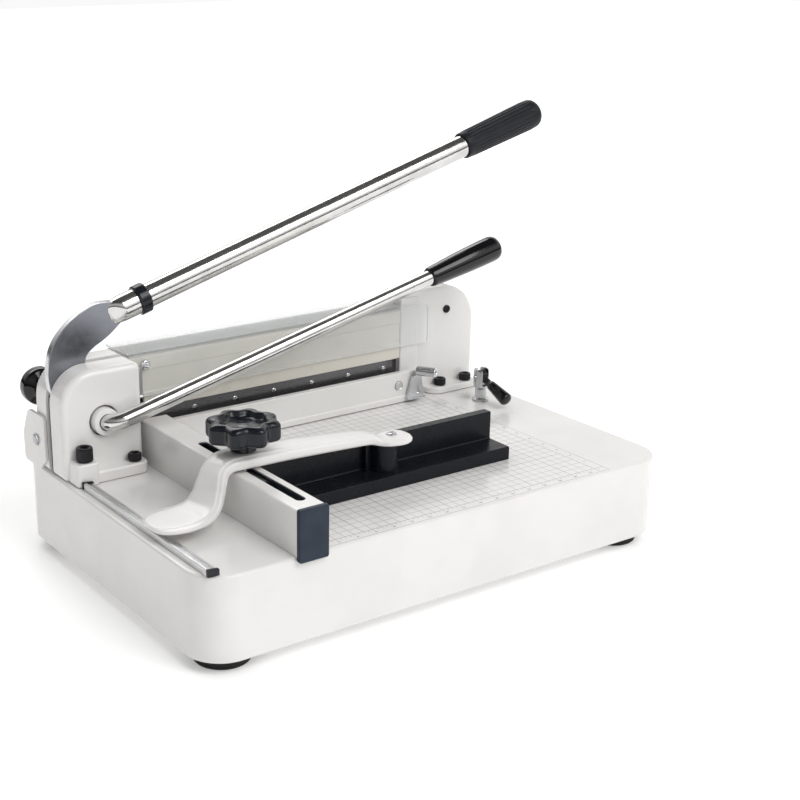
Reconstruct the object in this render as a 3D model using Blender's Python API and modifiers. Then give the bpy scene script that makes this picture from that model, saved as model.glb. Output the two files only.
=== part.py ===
"""Guillotine paper cutter: a hollow enamelled base with a measuring table, a pivot casing and a post that
carry a linked blade, a rack-driven clamp with its own lever, and a back gauge locked by a star knob.

Sizes are millimetres in the maker's corner frame: x runs along the blade from the base's left side, y runs
from the gauge side towards the operator, z runs up from the underside of the base. at() turns a corner-frame
point into a world location in metres, with the origin on the floor under the middle of the whole object.
"""
import math

import bmesh
import bpy
from mathutils import Vector

MM = 0.001
GAP = 0.3
RUNNING = 0.09

# Base
BASE_LENGTH = 540.0
BASE_DEPTH = 370.0
BASE_HEIGHT = 82.0
BASE_CORNER = 36.0
BASE_WALL = 4.0
TABLE_THICK = 6.0
FOOT_HEIGHT = 12.0
FOOT_INSET = 37.0
ON_TABLE = BASE_HEIGHT + GAP
UNDER_TABLE = BASE_HEIGHT - TABLE_THICK - 6.0

# Middle of the whole object in plan
MID_X = 302.3
MID_Y = 182.3

# Blade drive: lever and swing link turn about two level pivots, and the blade hangs between their cranks
PIVOT_X = 44.0
PIVOT_Z = 138.0
SHAFT_RADIUS = 8.0
CRANK = 44.0
CRANK_ANGLE = -30.0
LINK_SPACING = 394.0
CRANK_X = PIVOT_X + CRANK * math.cos(math.radians(CRANK_ANGLE))
CRANK_Z = PIVOT_Z + CRANK * math.sin(math.radians(CRANK_ANGLE))
PIN_RADIUS = 6.0
SLOT_NEAR = 291.5
SLOT_FAR = 300.5
PLATE_NEAR = 292.0
PLATE_FAR = 300.0
CRANK_NEAR = 295.2
CARRIER_NEAR = 303.3
CARRIER_FAR = 311.3
CARRIER_LOW = 101.0
CARRIER_HIGH = 137.0

# Casing halves
CASING_RIGHT = 85.0
CASING_TOP = 190.0
CASING_CORNER = 35.0
CASING_WALL = 3.0
CASING_FRONT = 264.0
CASING_BACK = 328.0

# Blade lever above the casing
TUBE_SLOPE = 16.1
TUBE_START = (74.0, 296.0, 234.4)
TUBE_RADIUS = 12.0

# Clamp drive
ROD_SLOPE = 13.8
ROD_RADIUS = 8.0
ROD_Y = 247.5
GEAR_TEETH = 24
GEAR_MODULE = 2.5
GEAR_PITCH = GEAR_TEETH * GEAR_MODULE / 2
CLAMP_NEAR = 281.5
CLAMP_FAR = 290.5

# Post
POST_LEFT = 424.0
POST_RIGHT = 531.0
POST_FRONT = 299.0
POST_BACK = 330.0

# Back gauge
GUIDE_LEFT = 90.5
GUIDE_RIGHT = 120.0
GUIDE_TOP = 126.0
KNOB_X = 107.0
KNOB_Y = 112.0

LOOKS = {
    "enamel": ((0.83, 0.82, 0.79, 1.0), 0.22, 0.0),
    "cream": ((0.78, 0.76, 0.70, 1.0), 0.28, 0.0),
    "chrome": ((0.72, 0.73, 0.75, 1.0), 0.12, 1.0),
    "steel": ((0.52, 0.53, 0.55, 1.0), 0.32, 1.0),
    "aluminium": ((0.68, 0.69, 0.70, 1.0), 0.38, 1.0),
    "black_plastic": ((0.018, 0.019, 0.022, 1.0), 0.42, 0.0),
    "gloss_black": ((0.012, 0.012, 0.014, 1.0), 0.15, 0.0),
    "slate_plastic": ((0.035, 0.045, 0.065, 1.0), 0.45, 0.0),
    "black_steel": ((0.03, 0.03, 0.033, 1.0), 0.38, 0.6),
    "rubber": ((0.02, 0.02, 0.02, 1.0), 0.75, 0.0),
    "red_plastic": ((0.62, 0.03, 0.03, 1.0), 0.45, 0.0),
    "acrylic": ((0.90, 0.93, 0.93, 0.35), 0.06, 0.0),
}


# ---------------------------------------------------------------- scene and placing

def clear_scene():
    """Remove whatever the open file holds."""
    for obj in list(bpy.data.objects):
        bpy.data.objects.remove(obj, do_unlink=True)


def new_collection(name):
    """A fresh collection in the scene."""
    made = bpy.data.collections.new(name)
    bpy.context.scene.collection.children.link(made)
    return made


clear_scene()
PARTS = new_collection("paper_cutter")
CUTTERS = new_collection("cutters")


def at(x, y, z):
    """World location of a corner-frame point."""
    return Vector(((x - MID_X) * MM, (y - MID_Y) * MM, (z + FOOT_HEIGHT) * MM))


def dress(obj, look):
    """Give a piece its own material from the list of looks."""
    colour, roughness, metallic = LOOKS[look]
    material = bpy.data.materials.new(obj.name)
    material.use_nodes = True
    shader = material.node_tree.nodes["Principled BSDF"]
    shader.inputs["Base Color"].default_value = colour
    shader.inputs["Roughness"].default_value = roughness
    shader.inputs["Metallic"].default_value = metallic
    shader.inputs["Alpha"].default_value = colour[3]
    obj.data.materials.clear()
    obj.data.materials.append(material)


def register(name, mesh, look):
    """Make an object from a mesh: a piece when it has a look, otherwise a cutter."""
    obj = bpy.data.objects.new(name, mesh)
    if look is None:
        CUTTERS.objects.link(obj)
        obj.hide_render = True
        obj.display_type = "WIRE"
        return obj
    PARTS.objects.link(obj)
    dress(obj, look)
    return obj


def pivot(name, location):
    """An empty on a joint's axis, which the moving pieces hang from."""
    empty = bpy.data.objects.new(name, None)
    empty.location = location
    empty.empty_display_size = 0.02
    PARTS.objects.link(empty)
    return empty


def hang(empty, *pieces):
    """Parent pieces to an unrotated empty without moving them."""
    for piece in pieces:
        piece.parent = empty
        piece.location = piece.location - empty.location


# ---------------------------------------------------------------- outlines

def arc(centre_a, centre_b, radius, start, end, steps):
    """Points on an arc, angles in degrees."""
    points = []
    for step in range(steps + 1):
        angle = math.radians(start + (end - start) * step / steps)
        points.append((centre_a + radius * math.cos(angle), centre_b + radius * math.sin(angle)))
    return points


def rounded(corners, steps=5):
    """Outline of a polygon given as (a, b, corner radius)."""
    points = []
    for index, (a, b, radius) in enumerate(corners):
        here = Vector((a, b))
        if radius <= 0:
            points.append((a, b))
            continue
        before = Vector(corners[index - 1][:2]) - here
        after = Vector(corners[(index + 1) % len(corners)][:2]) - here
        half = before.angle(after) / 2
        centre = here + (before.normalized() + after.normalized()).normalized() * (radius / math.sin(half))
        first = here + before.normalized() * (radius / math.tan(half)) - centre
        turn = math.pi - 2 * half
        if before.x * after.y - before.y * after.x > 0:
            turn = -turn
        for step in range(steps + 1):
            angle = turn * step / steps
            across = first.x * math.cos(angle) - first.y * math.sin(angle)
            along = first.x * math.sin(angle) + first.y * math.cos(angle)
            points.append((centre.x + across, centre.y + along))
    return points


def box_outline(a_low, a_high, b_low, b_high, radius=0.0, steps=4):
    """A rectangle with equal corner radii."""
    corners = [(a_low, b_low, radius), (a_high, b_low, radius), (a_high, b_high, radius), (a_low, b_high, radius)]
    return rounded(corners, steps)


# ---------------------------------------------------------------- makers

def curve_to_mesh(name, curve):
    """Evaluate a curve into a closed mesh and drop the curve."""
    holder = bpy.data.objects.new(name + "_curve", curve)
    bpy.context.scene.collection.objects.link(holder)
    graph = bpy.context.evaluated_depsgraph_get()
    mesh = bpy.data.meshes.new_from_object(holder.evaluated_get(graph))
    bpy.data.objects.remove(holder, do_unlink=True)
    bpy.data.curves.remove(curve)
    work = bmesh.new()
    work.from_mesh(mesh)
    bmesh.ops.remove_doubles(work, verts=work.verts, dist=0.000001)
    bmesh.ops.dissolve_limit(work, angle_limit=0.001, verts=work.verts, edges=work.edges)
    bmesh.ops.recalc_face_normals(work, faces=work.faces)
    work.to_mesh(mesh)
    work.free()
    mesh.name = name
    return mesh


def slab(name, outline, axis, low, high, look=None, origin=None):
    """Extrude a flat outline along an axis, from low to high.

    The outline's two numbers are (y, z) along X, (x, z) along Y and (x, y) along Z.
    The object's own origin is at the given pair of outline numbers.
    """
    home = origin or outline[0]
    curve = bpy.data.curves.new(name, "CURVE")
    curve.dimensions = "2D"
    curve.fill_mode = "BOTH"
    curve.extrude = (high - low) / 2 * MM
    spline = curve.splines.new("POLY")
    spline.points.add(len(outline) - 1)
    for point, (a, b) in zip(spline.points, outline):
        point.co = ((a - home[0]) * MM, (b - home[1]) * MM, 0.0, 1.0)
    spline.use_cyclic_u = True
    obj = register(name, curve_to_mesh(name, curve), look)
    middle = (low + high) / 2
    if axis == "X":
        obj.rotation_euler = (math.pi / 2, 0.0, math.pi / 2)
        obj.location = at(middle, home[0], home[1])
    elif axis == "Y":
        obj.rotation_euler = (math.pi / 2, 0.0, 0.0)
        obj.location = at(home[0], middle, home[1])
    else:
        obj.location = at(home[0], home[1], middle)
    return obj


def block(name, low, high, look=None):
    """A box between two corner-frame corners."""
    size = [(b - a) * MM for a, b in zip(low, high)]
    mesh = bpy.data.meshes.new(name)
    work = bmesh.new()
    bmesh.ops.create_cube(work, size=1.0)
    bmesh.ops.scale(work, vec=size, verts=work.verts)
    work.to_mesh(mesh)
    work.free()
    obj = register(name, mesh, look)
    obj.location = at(*[(a + b) / 2 for a, b in zip(low, high)])
    return obj


def aim(obj, direction):
    """Turn a piece so that its own Z runs along a direction."""
    obj.rotation_mode = "QUATERNION"
    obj.rotation_quaternion = Vector(direction).to_track_quat("Z", "Y")


def rod(name, radius, start, direction, length, look=None, sides=24):
    """A round bar from a start point along a direction."""
    mesh = bpy.data.meshes.new(name)
    work = bmesh.new()
    bmesh.ops.create_cone(work, cap_ends=True, segments=sides, radius1=radius * MM, radius2=radius * MM,
                          depth=length * MM)
    bmesh.ops.translate(work, vec=(0.0, 0.0, length / 2 * MM), verts=work.verts)
    work.to_mesh(mesh)
    work.free()
    obj = register(name, mesh, look)
    obj.location = at(*start)
    aim(obj, direction)
    return obj


def turned(name, profile, start, direction, look=None, sides=24, ring=False):
    """Spin a profile of (distance along the axis, radius) pairs, listed from the start outwards."""
    mesh = bpy.data.meshes.new(name)
    points = [(radius * MM, 0.0, along * MM) for along, radius in reversed(profile)]
    edges = [(i, i + 1) for i in range(len(points) - 1)]
    if ring:
        edges.append((len(points) - 1, 0))
    mesh.from_pydata(points, edges, [])
    obj = register(name, mesh, look)
    spin = obj.modifiers.new("turned", "SCREW")
    spin.axis = "Z"
    spin.steps = sides
    spin.render_steps = sides
    spin.use_merge_vertices = True
    spin.merge_threshold = 0.00001
    obj.location = at(*start)
    aim(obj, direction)
    return obj


def bent_path(corners, steps=6):
    """Points along a path in space whose corners (x, y, z, bend radius) are rounded."""
    path = []
    for index, (x, y, z, radius) in enumerate(corners):
        here = Vector((x, y, z))
        if radius <= 0:
            path.append(here)
            continue
        before = (Vector(corners[index - 1][:3]) - here).normalized()
        after = (Vector(corners[index + 1][:3]) - here).normalized()
        half = before.angle(after) / 2
        reach = radius / math.tan(half)
        centre = here + (before + after).normalized() * (radius / math.sin(half))
        first = (here + before * reach - centre).normalized()
        last = (here + after * reach - centre).normalized()
        for step in range(steps + 1):
            path.append(centre + first.slerp(last, step / steps) * radius)
    return path


def bent_bar(name, corners, radius, look):
    """A round bar swept along a bent path, with its own origin at the path's first point."""
    path = bent_path(corners)
    home = path[0]
    curve = bpy.data.curves.new(name, "CURVE")
    curve.dimensions = "3D"
    curve.bevel_depth = radius * MM
    curve.bevel_resolution = 3
    curve.use_fill_caps = True
    spline = curve.splines.new("POLY")
    spline.points.add(len(path) - 1)
    for point, place in zip(spline.points, path):
        point.co = (*((place - home) * MM), 1.0)
    obj = register(name, curve_to_mesh(name, curve), look)
    obj.location = at(*home)
    return obj


def combine(target, other, operation):
    """Add a Boolean modifier to a piece."""
    step = target.modifiers.new(other.name, "BOOLEAN")
    step.operation = operation
    step.solver = "EXACT"
    step.object = other


def cut(target, *others):
    """Take the cutters out of a piece."""
    for other in others:
        combine(target, other, "DIFFERENCE")


def join(target, *others):
    """Fuse extra shapes onto a piece."""
    for other in others:
        combine(target, other, "UNION")


def soften(obj, width, segments=2):
    """Round a piece's sharp edges."""
    bevel = obj.modifiers.new("rounded edges", "BEVEL")
    bevel.width = width * MM
    bevel.segments = segments
    bevel.limit_method = "ANGLE"
    bevel.angle_limit = math.radians(40)


def socket_screw(name, start, direction, head_radius, head_height, shank_radius, shank_length, look):
    """A cap screw: the start is under its head, the head stands along the direction."""
    rim = 0.8
    socket_radius = head_radius * 0.52
    socket_depth = head_height * 0.55
    profile = [
        (-shank_length, 0.0), (-shank_length, shank_radius), (0.0, shank_radius), (0.0, head_radius),
        (head_height - rim, head_radius), (head_height, head_radius - rim), (head_height, socket_radius),
        (head_height - socket_depth, socket_radius), (head_height - socket_depth, 0.0),
    ]
    return turned(name, profile, start, direction, look, sides=18)


def slotted_screw(name, start, direction, head_radius, head_height, shank_radius, shank_length, look, slot_axis):
    """A pan-head screw with a slot cut along the given axis."""
    profile = [
        (-shank_length, 0.0), (-shank_length, shank_radius), (0.0, shank_radius), (0.0, head_radius),
        (head_height * 0.55, head_radius), (head_height, head_radius * 0.7), (head_height, 0.0),
    ]
    screw = turned(name, profile, start, direction, look, sides=18)
    along = Vector(direction)
    across = Vector(slot_axis)
    top = Vector(start) + along * head_height
    reach = Vector([head_radius * 1.2 * abs(c) for c in across])
    depth = Vector([head_height * 0.45 * abs(c) for c in along])
    third = along.cross(across)
    width = Vector([0.9 * abs(c) for c in third])
    half = reach + depth + width
    cut(screw, block(name + "_slot", tuple(top - half), tuple(top + half)))
    return screw


# ---------------------------------------------------------------- base

def base_shell():
    """The hollow enamelled base, open below, with the table as its top."""
    shell = slab("base_shell", box_outline(0, BASE_LENGTH, 0, BASE_DEPTH, BASE_CORNER, 7), "Z", 0, BASE_HEIGHT,
                 "enamel", (BASE_LENGTH / 2, BASE_DEPTH / 2))
    soften(shell, 3.0, 3)
    hollow = slab("base_hollow", box_outline(BASE_WALL, BASE_LENGTH - BASE_WALL, BASE_WALL, BASE_DEPTH - BASE_WALL,
                                             BASE_CORNER - BASE_WALL, 7), "Z", -10, BASE_HEIGHT - TABLE_THICK)
    groove = block("stick_groove", (94.7, 296.7, BASE_HEIGHT - 4.3), (445.3, 307.3, BASE_HEIGHT + 5))
    cut(shell, hollow, groove)
    for name, x, y, radius in (("main_bolt", 17, 255.2, 5.0), ("low_bolt", 71, 257, 4.0), ("post_bolt_a", 479, 291.5, 4.0),
                               ("post_bolt_b", 515, 290.5, 4.0), ("cam", 498, 242, 4.0)):
        hole = rod(name + "_table_hole", radius + GAP, (x, y, UNDER_TABLE), (0, 0, 1), 20, sides=12)
        cut(shell, hole)
    return shell


def bottom_plate():
    """The sheet that closes the base from below."""
    inset = BASE_WALL + GAP
    outline = box_outline(inset, BASE_LENGTH - inset, inset, BASE_DEPTH - inset, BASE_CORNER - inset, 6)
    return slab("bottom_plate", outline, "Z", GAP, 2.3, "enamel", (BASE_LENGTH / 2, BASE_DEPTH / 2))


def foot(name, x, y):
    """A turned rubber foot that flares a little towards the base."""
    profile = [(0, 0), (0, 24.5), (2, 26), (10, 28.5), (12, 28.5), (12, 0)]
    return turned(name, profile, (x, y, -FOOT_HEIGHT), (0, 0, 1), "rubber", sides=24)


def cutting_stick():
    """The red strip that the blade lands on, flush in its groove."""
    return block("cutting_stick", (95, 297, BASE_HEIGHT - 4), (445, 307, BASE_HEIGHT), "red_plastic")


def scale_rail():
    """The metal strip along the table's left edge."""
    rail = slab("scale_rail", rounded([(8, ON_TABLE, 0), (18, ON_TABLE, 0), (18, 87, 1), (8, 89, 1)], 2), "Y", 10, 240.5,
                "aluminium")
    return rail


def rail_cap(name, y_low, y_high):
    """A black cap on one end of the strip."""
    return block(name, (7.2, y_low, ON_TABLE), (18.8, y_high, 89.6), "black_plastic")


# ---------------------------------------------------------------- back gauge

def side_guide():
    """The white box beam that the gauge carriage runs in, slotted along its top."""
    wall = 2.5
    outline = [
        (GUIDE_LEFT, ON_TABLE), (GUIDE_LEFT + wall, ON_TABLE), (GUIDE_LEFT + wall, GUIDE_TOP - wall),
        (GUIDE_RIGHT - wall, GUIDE_TOP - wall), (GUIDE_RIGHT - wall, ON_TABLE), (GUIDE_RIGHT, ON_TABLE),
    ]
    outline += arc(GUIDE_RIGHT - 1.5, GUIDE_TOP - 1.5, 1.5, 0, 90, 3)
    outline += arc(GUIDE_LEFT + 1.5, GUIDE_TOP - 1.5, 1.5, 90, 180, 3)
    guide = slab("side_guide", outline, "Y", 0, 279, "enamel")
    cut(guide, slab("guide_slot", box_outline(KNOB_X - 5, KNOB_X + 5, 15, 190, 4.9, 4), "Z", 110, 140))
    return guide


def side_guide_cap():
    """The dark moulded cap on the guide's outer end, hooked over the table's edge."""
    cap = slab("side_guide_cap", box_outline(GUIDE_LEFT - 0.5, GUIDE_RIGHT + 0.5, 78, GUIDE_TOP + 0.8, 2.0, 3), "Y",
               -5.3, -0.3, "slate_plastic")
    return cap


def gauge_carriage():
    """The sliding nut inside the guide."""
    nut = block("gauge_carriage", (94, 77, 86), (116.5, 147, 122), "steel")
    cut(nut, rod("carriage_bore", 4.5, (KNOB_X, KNOB_Y, 80), (0, 0, 1), 60, sides=16))
    return nut


def gauge_arm():
    """The cast strap: a hand tab beside the guide, an S up over it and a tip on the pusher.

    It is the overlap of a side outline and a plan outline.
    """
    side = rounded([
        (2, 91.5, 3), (57, 91.5, 22), (77, 126.8, 10), (240, 126.8, 0), (250, 124.5, 0), (282, 124.5, 0),
        (282, 130.8, 3), (249, 130.8, 5), (238, 139.5, 8), (120, 142, 0), (79, 142, 20), (56, 99, 18), (2, 99, 3),
    ], 4)
    arm = slab("gauge_arm", side, "Y", 60, 145, "enamel", (KNOB_X, GUIDE_TOP))
    plan = rounded([
        (3, 72, 20), (3, 128, 24), (52, 132, 30), (82, 130, 0), (122, 129, 20), (238, 108, 8), (246, 113, 8),
        (280, 113, 17), (280, 76, 17), (247, 76, 8), (238, 83, 8), (122, 96, 20), (82, 94, 30), (52, 72, 24),
    ], 4)
    combine(arm, slab("gauge_arm_plan", plan, "Z", 80, 150), "INTERSECT")
    soften(arm, 2.2, 2)
    cut(arm, rod("arm_stud_hole", 4.5, (KNOB_X, KNOB_Y, 120), (0, 0, 1), 30, sides=16),
        rod("arm_screw_hole", 3.3, (262, 96, 115), (0, 0, 1), 30, sides=16))
    return arm


def gauge_pusher():
    """The black L-section that squares the stack, with a half-round rib under the arm's tip."""
    outline = rounded([(80, ON_TABLE, 0), (121, ON_TABLE, 0), (121, 124, 1.5), (110, 124, 1.5), (110, 95.5, 2),
                       (80, 95.5, 1.5)], 3)
    pusher = slab("gauge_pusher", outline, "X", 122.5, 398, "black_plastic")
    rib = arc(257.5, 101.5, 13.5, 180, 360, 10) + [(271, 115), (244, 115)]
    join(pusher, slab("pusher_rib", rib, "Z", 86, 123.7))
    cut(pusher, rod("pusher_screw_hole", 3.3, (262, 96, 104), (0, 0, 1), 40, sides=16))
    return pusher


def star_knob():
    """The lobed clamping knob: eight lobes, a dished top and a round neck."""
    lobes = 8
    steps = 48
    outline = []
    for step in range(steps):
        angle = 2 * math.pi * step / steps
        radius = 31.6 + 2.9 * math.cos(lobes * angle)
        outline.append((KNOB_X + radius * math.cos(angle), KNOB_Y + radius * math.sin(angle)))
    knob = slab("star_knob", outline, "Z", 152, 172, "black_plastic", (KNOB_X, KNOB_Y))
    soften(knob, 3.5, 2)
    join(knob, rod("knob_neck", 12, (KNOB_X, KNOB_Y, 142.4), (0, 0, 1), 18, sides=24))
    dish = turned("knob_dish", [(0, 0), (0, 15), (4, 20), (12, 21), (12, 0)], (KNOB_X, KNOB_Y, 166), (0, 0, 1))
    cut(knob, dish, rod("knob_thread", 4.5, (KNOB_X, KNOB_Y, 130), (0, 0, 1), 30, sides=16))
    return knob


def knob_stud():
    """The threaded stud from the knob down through arm and slot into the carriage."""
    return rod("knob_stud", 4.2, (KNOB_X, KNOB_Y, 92), (0, 0, 1), 67.5, "steel", sides=16)


# ---------------------------------------------------------------- casing

def casing_outline(margin=0.0):
    """Side outline of the pivot casing, drawn in by a margin."""
    corner = CASING_CORNER - margin
    return rounded([
        (margin, ON_TABLE + margin, 0), (CASING_RIGHT - margin, ON_TABLE + margin, 0),
        (CASING_RIGHT - margin, CASING_TOP - margin, max(6 - margin, 2)), (margin, CASING_TOP - margin, corner),
    ], 7)


def casing_near():
    """The casing half on the gauge side: hollow towards the lever's slot, with two bolt bosses."""
    half = slab("casing_near", casing_outline(), "Y", CASING_FRONT, SLOT_NEAR + 6, "enamel", (PIVOT_X, PIVOT_Z))
    soften(half, 4.5, 3)
    tall = slab("main_boss", box_outline(4.5, 30, 244.5, 272, 6, 4), "Z", ON_TABLE, 105)
    low = slab("low_boss", box_outline(28, 83, 247.5, 272, 7, 4), "Z", ON_TABLE, 94)
    join(half, low, tall)
    slot_side = block("near_slot_side", (-20, SLOT_NEAR, 60), (120, SLOT_NEAR + 20, 210))
    hollow = slab("near_hollow", casing_outline(CASING_WALL), "Y", CASING_FRONT + CASING_WALL, SLOT_NEAR + 10)
    hub = rod("near_hub_hole", 15.2, (PIVOT_X, CASING_FRONT - 30, PIVOT_Z), (0, 1, 0), 50, sides=24)
    notch = block("near_tongue_notch", (70, CLAMP_NEAR - 0.5, ON_TABLE + 0.2), (100, SLOT_NEAR + 12, 160))
    main = rod("main_boss_hole", 5.3, (17, 255.2, 70), (0, 0, 1), 60, sides=16)
    small = rod("low_boss_hole", 4.3, (71, 257, 70), (0, 0, 1), 60, sides=16)
    cut(half, slot_side, hollow, hub, notch, main, small)
    return half


def casing_far():
    """The casing half on the operator's side: it holds the pivot shaft and opens for the blade carrier."""
    half = slab("casing_far", casing_outline(), "Y", SLOT_FAR - 6, CASING_BACK, "enamel", (PIVOT_X, PIVOT_Z))
    soften(half, 4.5, 3)
    slot_side = block("far_slot_side", (-20, SLOT_FAR - 20, 60), (120, SLOT_FAR, 210))
    hollow = slab("far_hollow", casing_outline(CASING_WALL), "Y", SLOT_FAR - 10, CASING_BACK - CASING_WALL)
    window = block("far_carrier_window", (70, SLOT_FAR - 12, 97), (100, 316, 184))
    shaft = rod("far_shaft_hole", SHAFT_RADIUS + GAP, (PIVOT_X, 310, PIVOT_Z), (0, 1, 0), 40, sides=24)
    lock = rod("far_lock_hole", 5.3, (13, 310, 158), (0, 1, 0), 40, sides=20)
    cut(half, slot_side, hollow, window, shaft, lock)
    return half


def side_bracket():
    """The ear bolted flat to the casing's left side."""
    ear = slab("side_bracket", rounded([(301, 95, 5), (316, 82.5, 4), (352, 82.5, 5), (352, 112, 6), (338, 139, 8),
                                        (301, 139, 4)], 4), "X", -3.5, -0.3, "enamel")
    cut(ear, rod("bracket_hole", 3.3, (-10, 320, 112), (1, 0, 0), 20, sides=16))
    cut(bpy.data.objects["casing_far"], rod("casing_bracket_hole", 3.3, (-10, 320, 112), (1, 0, 0), 20, sides=16))
    return ear


def side_bracket_bolt():
    """The hexagon bolt that holds the ear."""
    bolt = rod("side_bracket_bolt", 5.8, (-5.8, 320, 112), (1, 0, 0), 2.1, "steel", sides=6)
    join(bolt, rod("bracket_shank", 3.0, (-5.0, 320, 112), (1, 0, 0), 14, sides=16))
    return bolt


def pivot_shaft():
    """The fixed shaft that both levers turn on."""
    profile = [(0, 0), (0, SHAFT_RADIUS), (61.5, SHAFT_RADIUS), (61.5, 0)]
    return turned("pivot_shaft", profile, (PIVOT_X, 266.3, PIVOT_Z), (0, 1, 0), "steel", sides=24)


# ---------------------------------------------------------------- post, beam and guard

def right_post():
    """The cast post at the blade's other end, hollow for the carrier and the swing link."""
    outline = rounded([
        (POST_LEFT, ON_TABLE, 0), (POST_RIGHT, ON_TABLE, 0), (POST_RIGHT, 203, 44), (POST_LEFT, 203, 5),
    ], 8)
    post = slab("right_post", outline, "Y", POST_FRONT, POST_BACK, "enamel", (468, ON_TABLE))
    soften(post, 3.0, 2)
    pillar = slab("post_pillar", box_outline(POST_LEFT + 0.6, 449, 296.6, 310, 2, 3), "Z", ON_TABLE + 0.5, 196)
    outline = rounded([(462, 282, 14), (POST_RIGHT - 1, 282, 8), (POST_RIGHT - 5, 310, 0), (462, 310, 0)], 5)
    flange = slab("post_flange", outline,
                  "Z", ON_TABLE + 0.2, 90)
    join(post, pillar, flange)
    cavity = block("post_cavity", (400, CARRIER_NEAR - GAP, 97), (505, 322, 186))
    cut(post, cavity)
    join(post, rod("link_stud", PIN_RADIUS, (PIVOT_X + LINK_SPACING, 312, PIVOT_Z), (0, 1, 0), 14, sides=24))
    for index, (x, y) in enumerate(((479, 291.5), (515, 290.5))):
        cut(post, rod("post_bolt_hole_%d" % index, 4.3, (x, y, 70), (0, 0, 1), 40, sides=16))
    cut(post, rod("post_screw_hole", 2.8, (491, 280, 176), (0, 1, 0), 34, sides=16))
    return post


def top_beam():
    """The cream channel over the blade, from casing to post."""
    outline = [
        (295.5, 130), (298, 130), (298, 183), (337, 183), (337, 130), (340, 130), (340, 186), (295.5, 186),
    ]
    beam = slab("top_beam", outline, "X", CASING_RIGHT + 1.3, POST_LEFT - 1.0, "cream")
    notch = block("beam_crank_notch", (80, 290, 120), (103, 299, 171.5))
    screw = rod("beam_screw_hole", 2.1, (104, 280, 177), (0, 1, 0), 40, sides=16)
    cut(beam, notch, screw)
    return beam


def rear_guard():
    """The clear folded guard: an upright pane on the gauge side and a sheet over the top."""
    pane = slab("rear_guard", rounded([(CASING_RIGHT + 1, 144, 2), (460, 144, 2), (460, 189.5, 6),
                                       (CASING_RIGHT + 1, 189.5, 0)], 4), "Y", 292, 294.5, "acrylic")
    sheet = block("guard_sheet", (CASING_RIGHT + 1, 293, 187), (POST_LEFT - 1, 342, 189.5))
    join(pane, sheet)
    cut(pane, rod("guard_screw_hole", 2.1, (104, 280, 177), (0, 1, 0), 40, sides=16))
    return pane


# ---------------------------------------------------------------- blade lever

def lever_plate():
    """The gooseneck plate: a hub on the shaft, a crank down to the blade pin and a neck up to the tube."""
    spread = math.degrees(math.acos((28 - 12) / CRANK))
    outline = arc(CRANK_X, CRANK_Z, 12, CRANK_ANGLE - spread, CRANK_ANGLE + spread, 8)
    outline += arc(PIVOT_X, PIVOT_Z, 28, CRANK_ANGLE + spread, 66, 3)
    outline += [(46, 172), (39.5, 184), (39.5, 190), (42.5, 197), (49, 202.5), (58, 207.5), (67, 213.5), (75.5, 219.5)]
    slope = math.radians(TUBE_SLOPE)
    for along, across in ((4.0, -11.0), (15.5, -11.0), (15.5, 11.0), (2.0, 11.0)):
        outline.append((TUBE_START[0] + along * math.cos(slope) - across * math.sin(slope),
                        TUBE_START[2] + along * math.sin(slope) + across * math.cos(slope)))
    outline += [(55, 246.5), (45, 243.5), (36, 239), (28, 234.5), (20, 228.5), (13, 221.5), (7.5, 213.5), (3.5, 205),
                (1, 196), (0, 187), (0.2, 175), (4, 160)]
    outline += arc(PIVOT_X, PIVOT_Z, 28, 172, 360 + CRANK_ANGLE - spread, 7)
    plate = slab("lever_plate", outline, "Y", PLATE_NEAR, PLATE_FAR, "chrome", (PIVOT_X, PIVOT_Z))
    turn = math.radians(CRANK_ANGLE)
    thin = []
    for along, across in ((35, -24), (64, -24), (64, 24), (35, 24)):
        thin.append((PIVOT_X + along * math.cos(turn) - across * math.sin(turn),
                     PIVOT_Z + along * math.sin(turn) + across * math.cos(turn)))
    cut(plate, slab("crank_relief", thin, "Y", PLATE_NEAR - 10, CRANK_NEAR),
        rod("plate_bore", SHAFT_RADIUS + RUNNING, (PIVOT_X, 280, PIVOT_Z), (0, 1, 0), 40, sides=24),
        rod("plate_pin_hole", PIN_RADIUS + GAP, (CRANK_X, 280, CRANK_Z), (0, 1, 0), 40, sides=20))
    return plate


def tube_direction():
    """Unit direction of the blade lever's tube."""
    slope = math.radians(TUBE_SLOPE)
    return Vector((math.cos(slope), 0.0, math.sin(slope)))


def on_tube(distance):
    """Point on the tube's axis at a distance from its start."""
    return Vector(TUBE_START) + tube_direction() * distance


def lever_socket():
    """The chrome ferrule, slotted for the plate's tongue."""
    profile = [(0, 0), (0, 11.5), (1.5, 13), (24, 13), (24, 0)]
    ferrule = turned("lever_socket", profile, on_tube(1.0), tube_direction(), "chrome", sides=24)
    slot = block("socket_slot", (-15.5, PLATE_NEAR - GAP, -20), (15.5, PLATE_FAR + GAP, 20))
    slot.rotation_euler = (0.0, -math.radians(TUBE_SLOPE), 0.0)
    slot.location = at(*on_tube(1.0))
    slot.location.y = at(0, (PLATE_NEAR + PLATE_FAR) / 2, 0).y
    cut(ferrule, slot)
    return ferrule


def lever_collar():
    """The black ring between ferrule and tube."""
    profile = [(0, 0), (0, 13.8), (1.2, 15), (10.8, 15), (12, 13.8), (12, 0)]
    return turned("lever_collar", profile, on_tube(25.3), tube_direction(), "black_plastic", sides=24)


def lever_tube():
    """The long chromed tube."""
    profile = [(0, 0), (0, TUBE_RADIUS), (482, TUBE_RADIUS), (482, 9), (420, 9), (420, 0)]
    return turned("lever_tube", profile, on_tube(37.6), tube_direction(), "chrome", sides=24)


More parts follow.
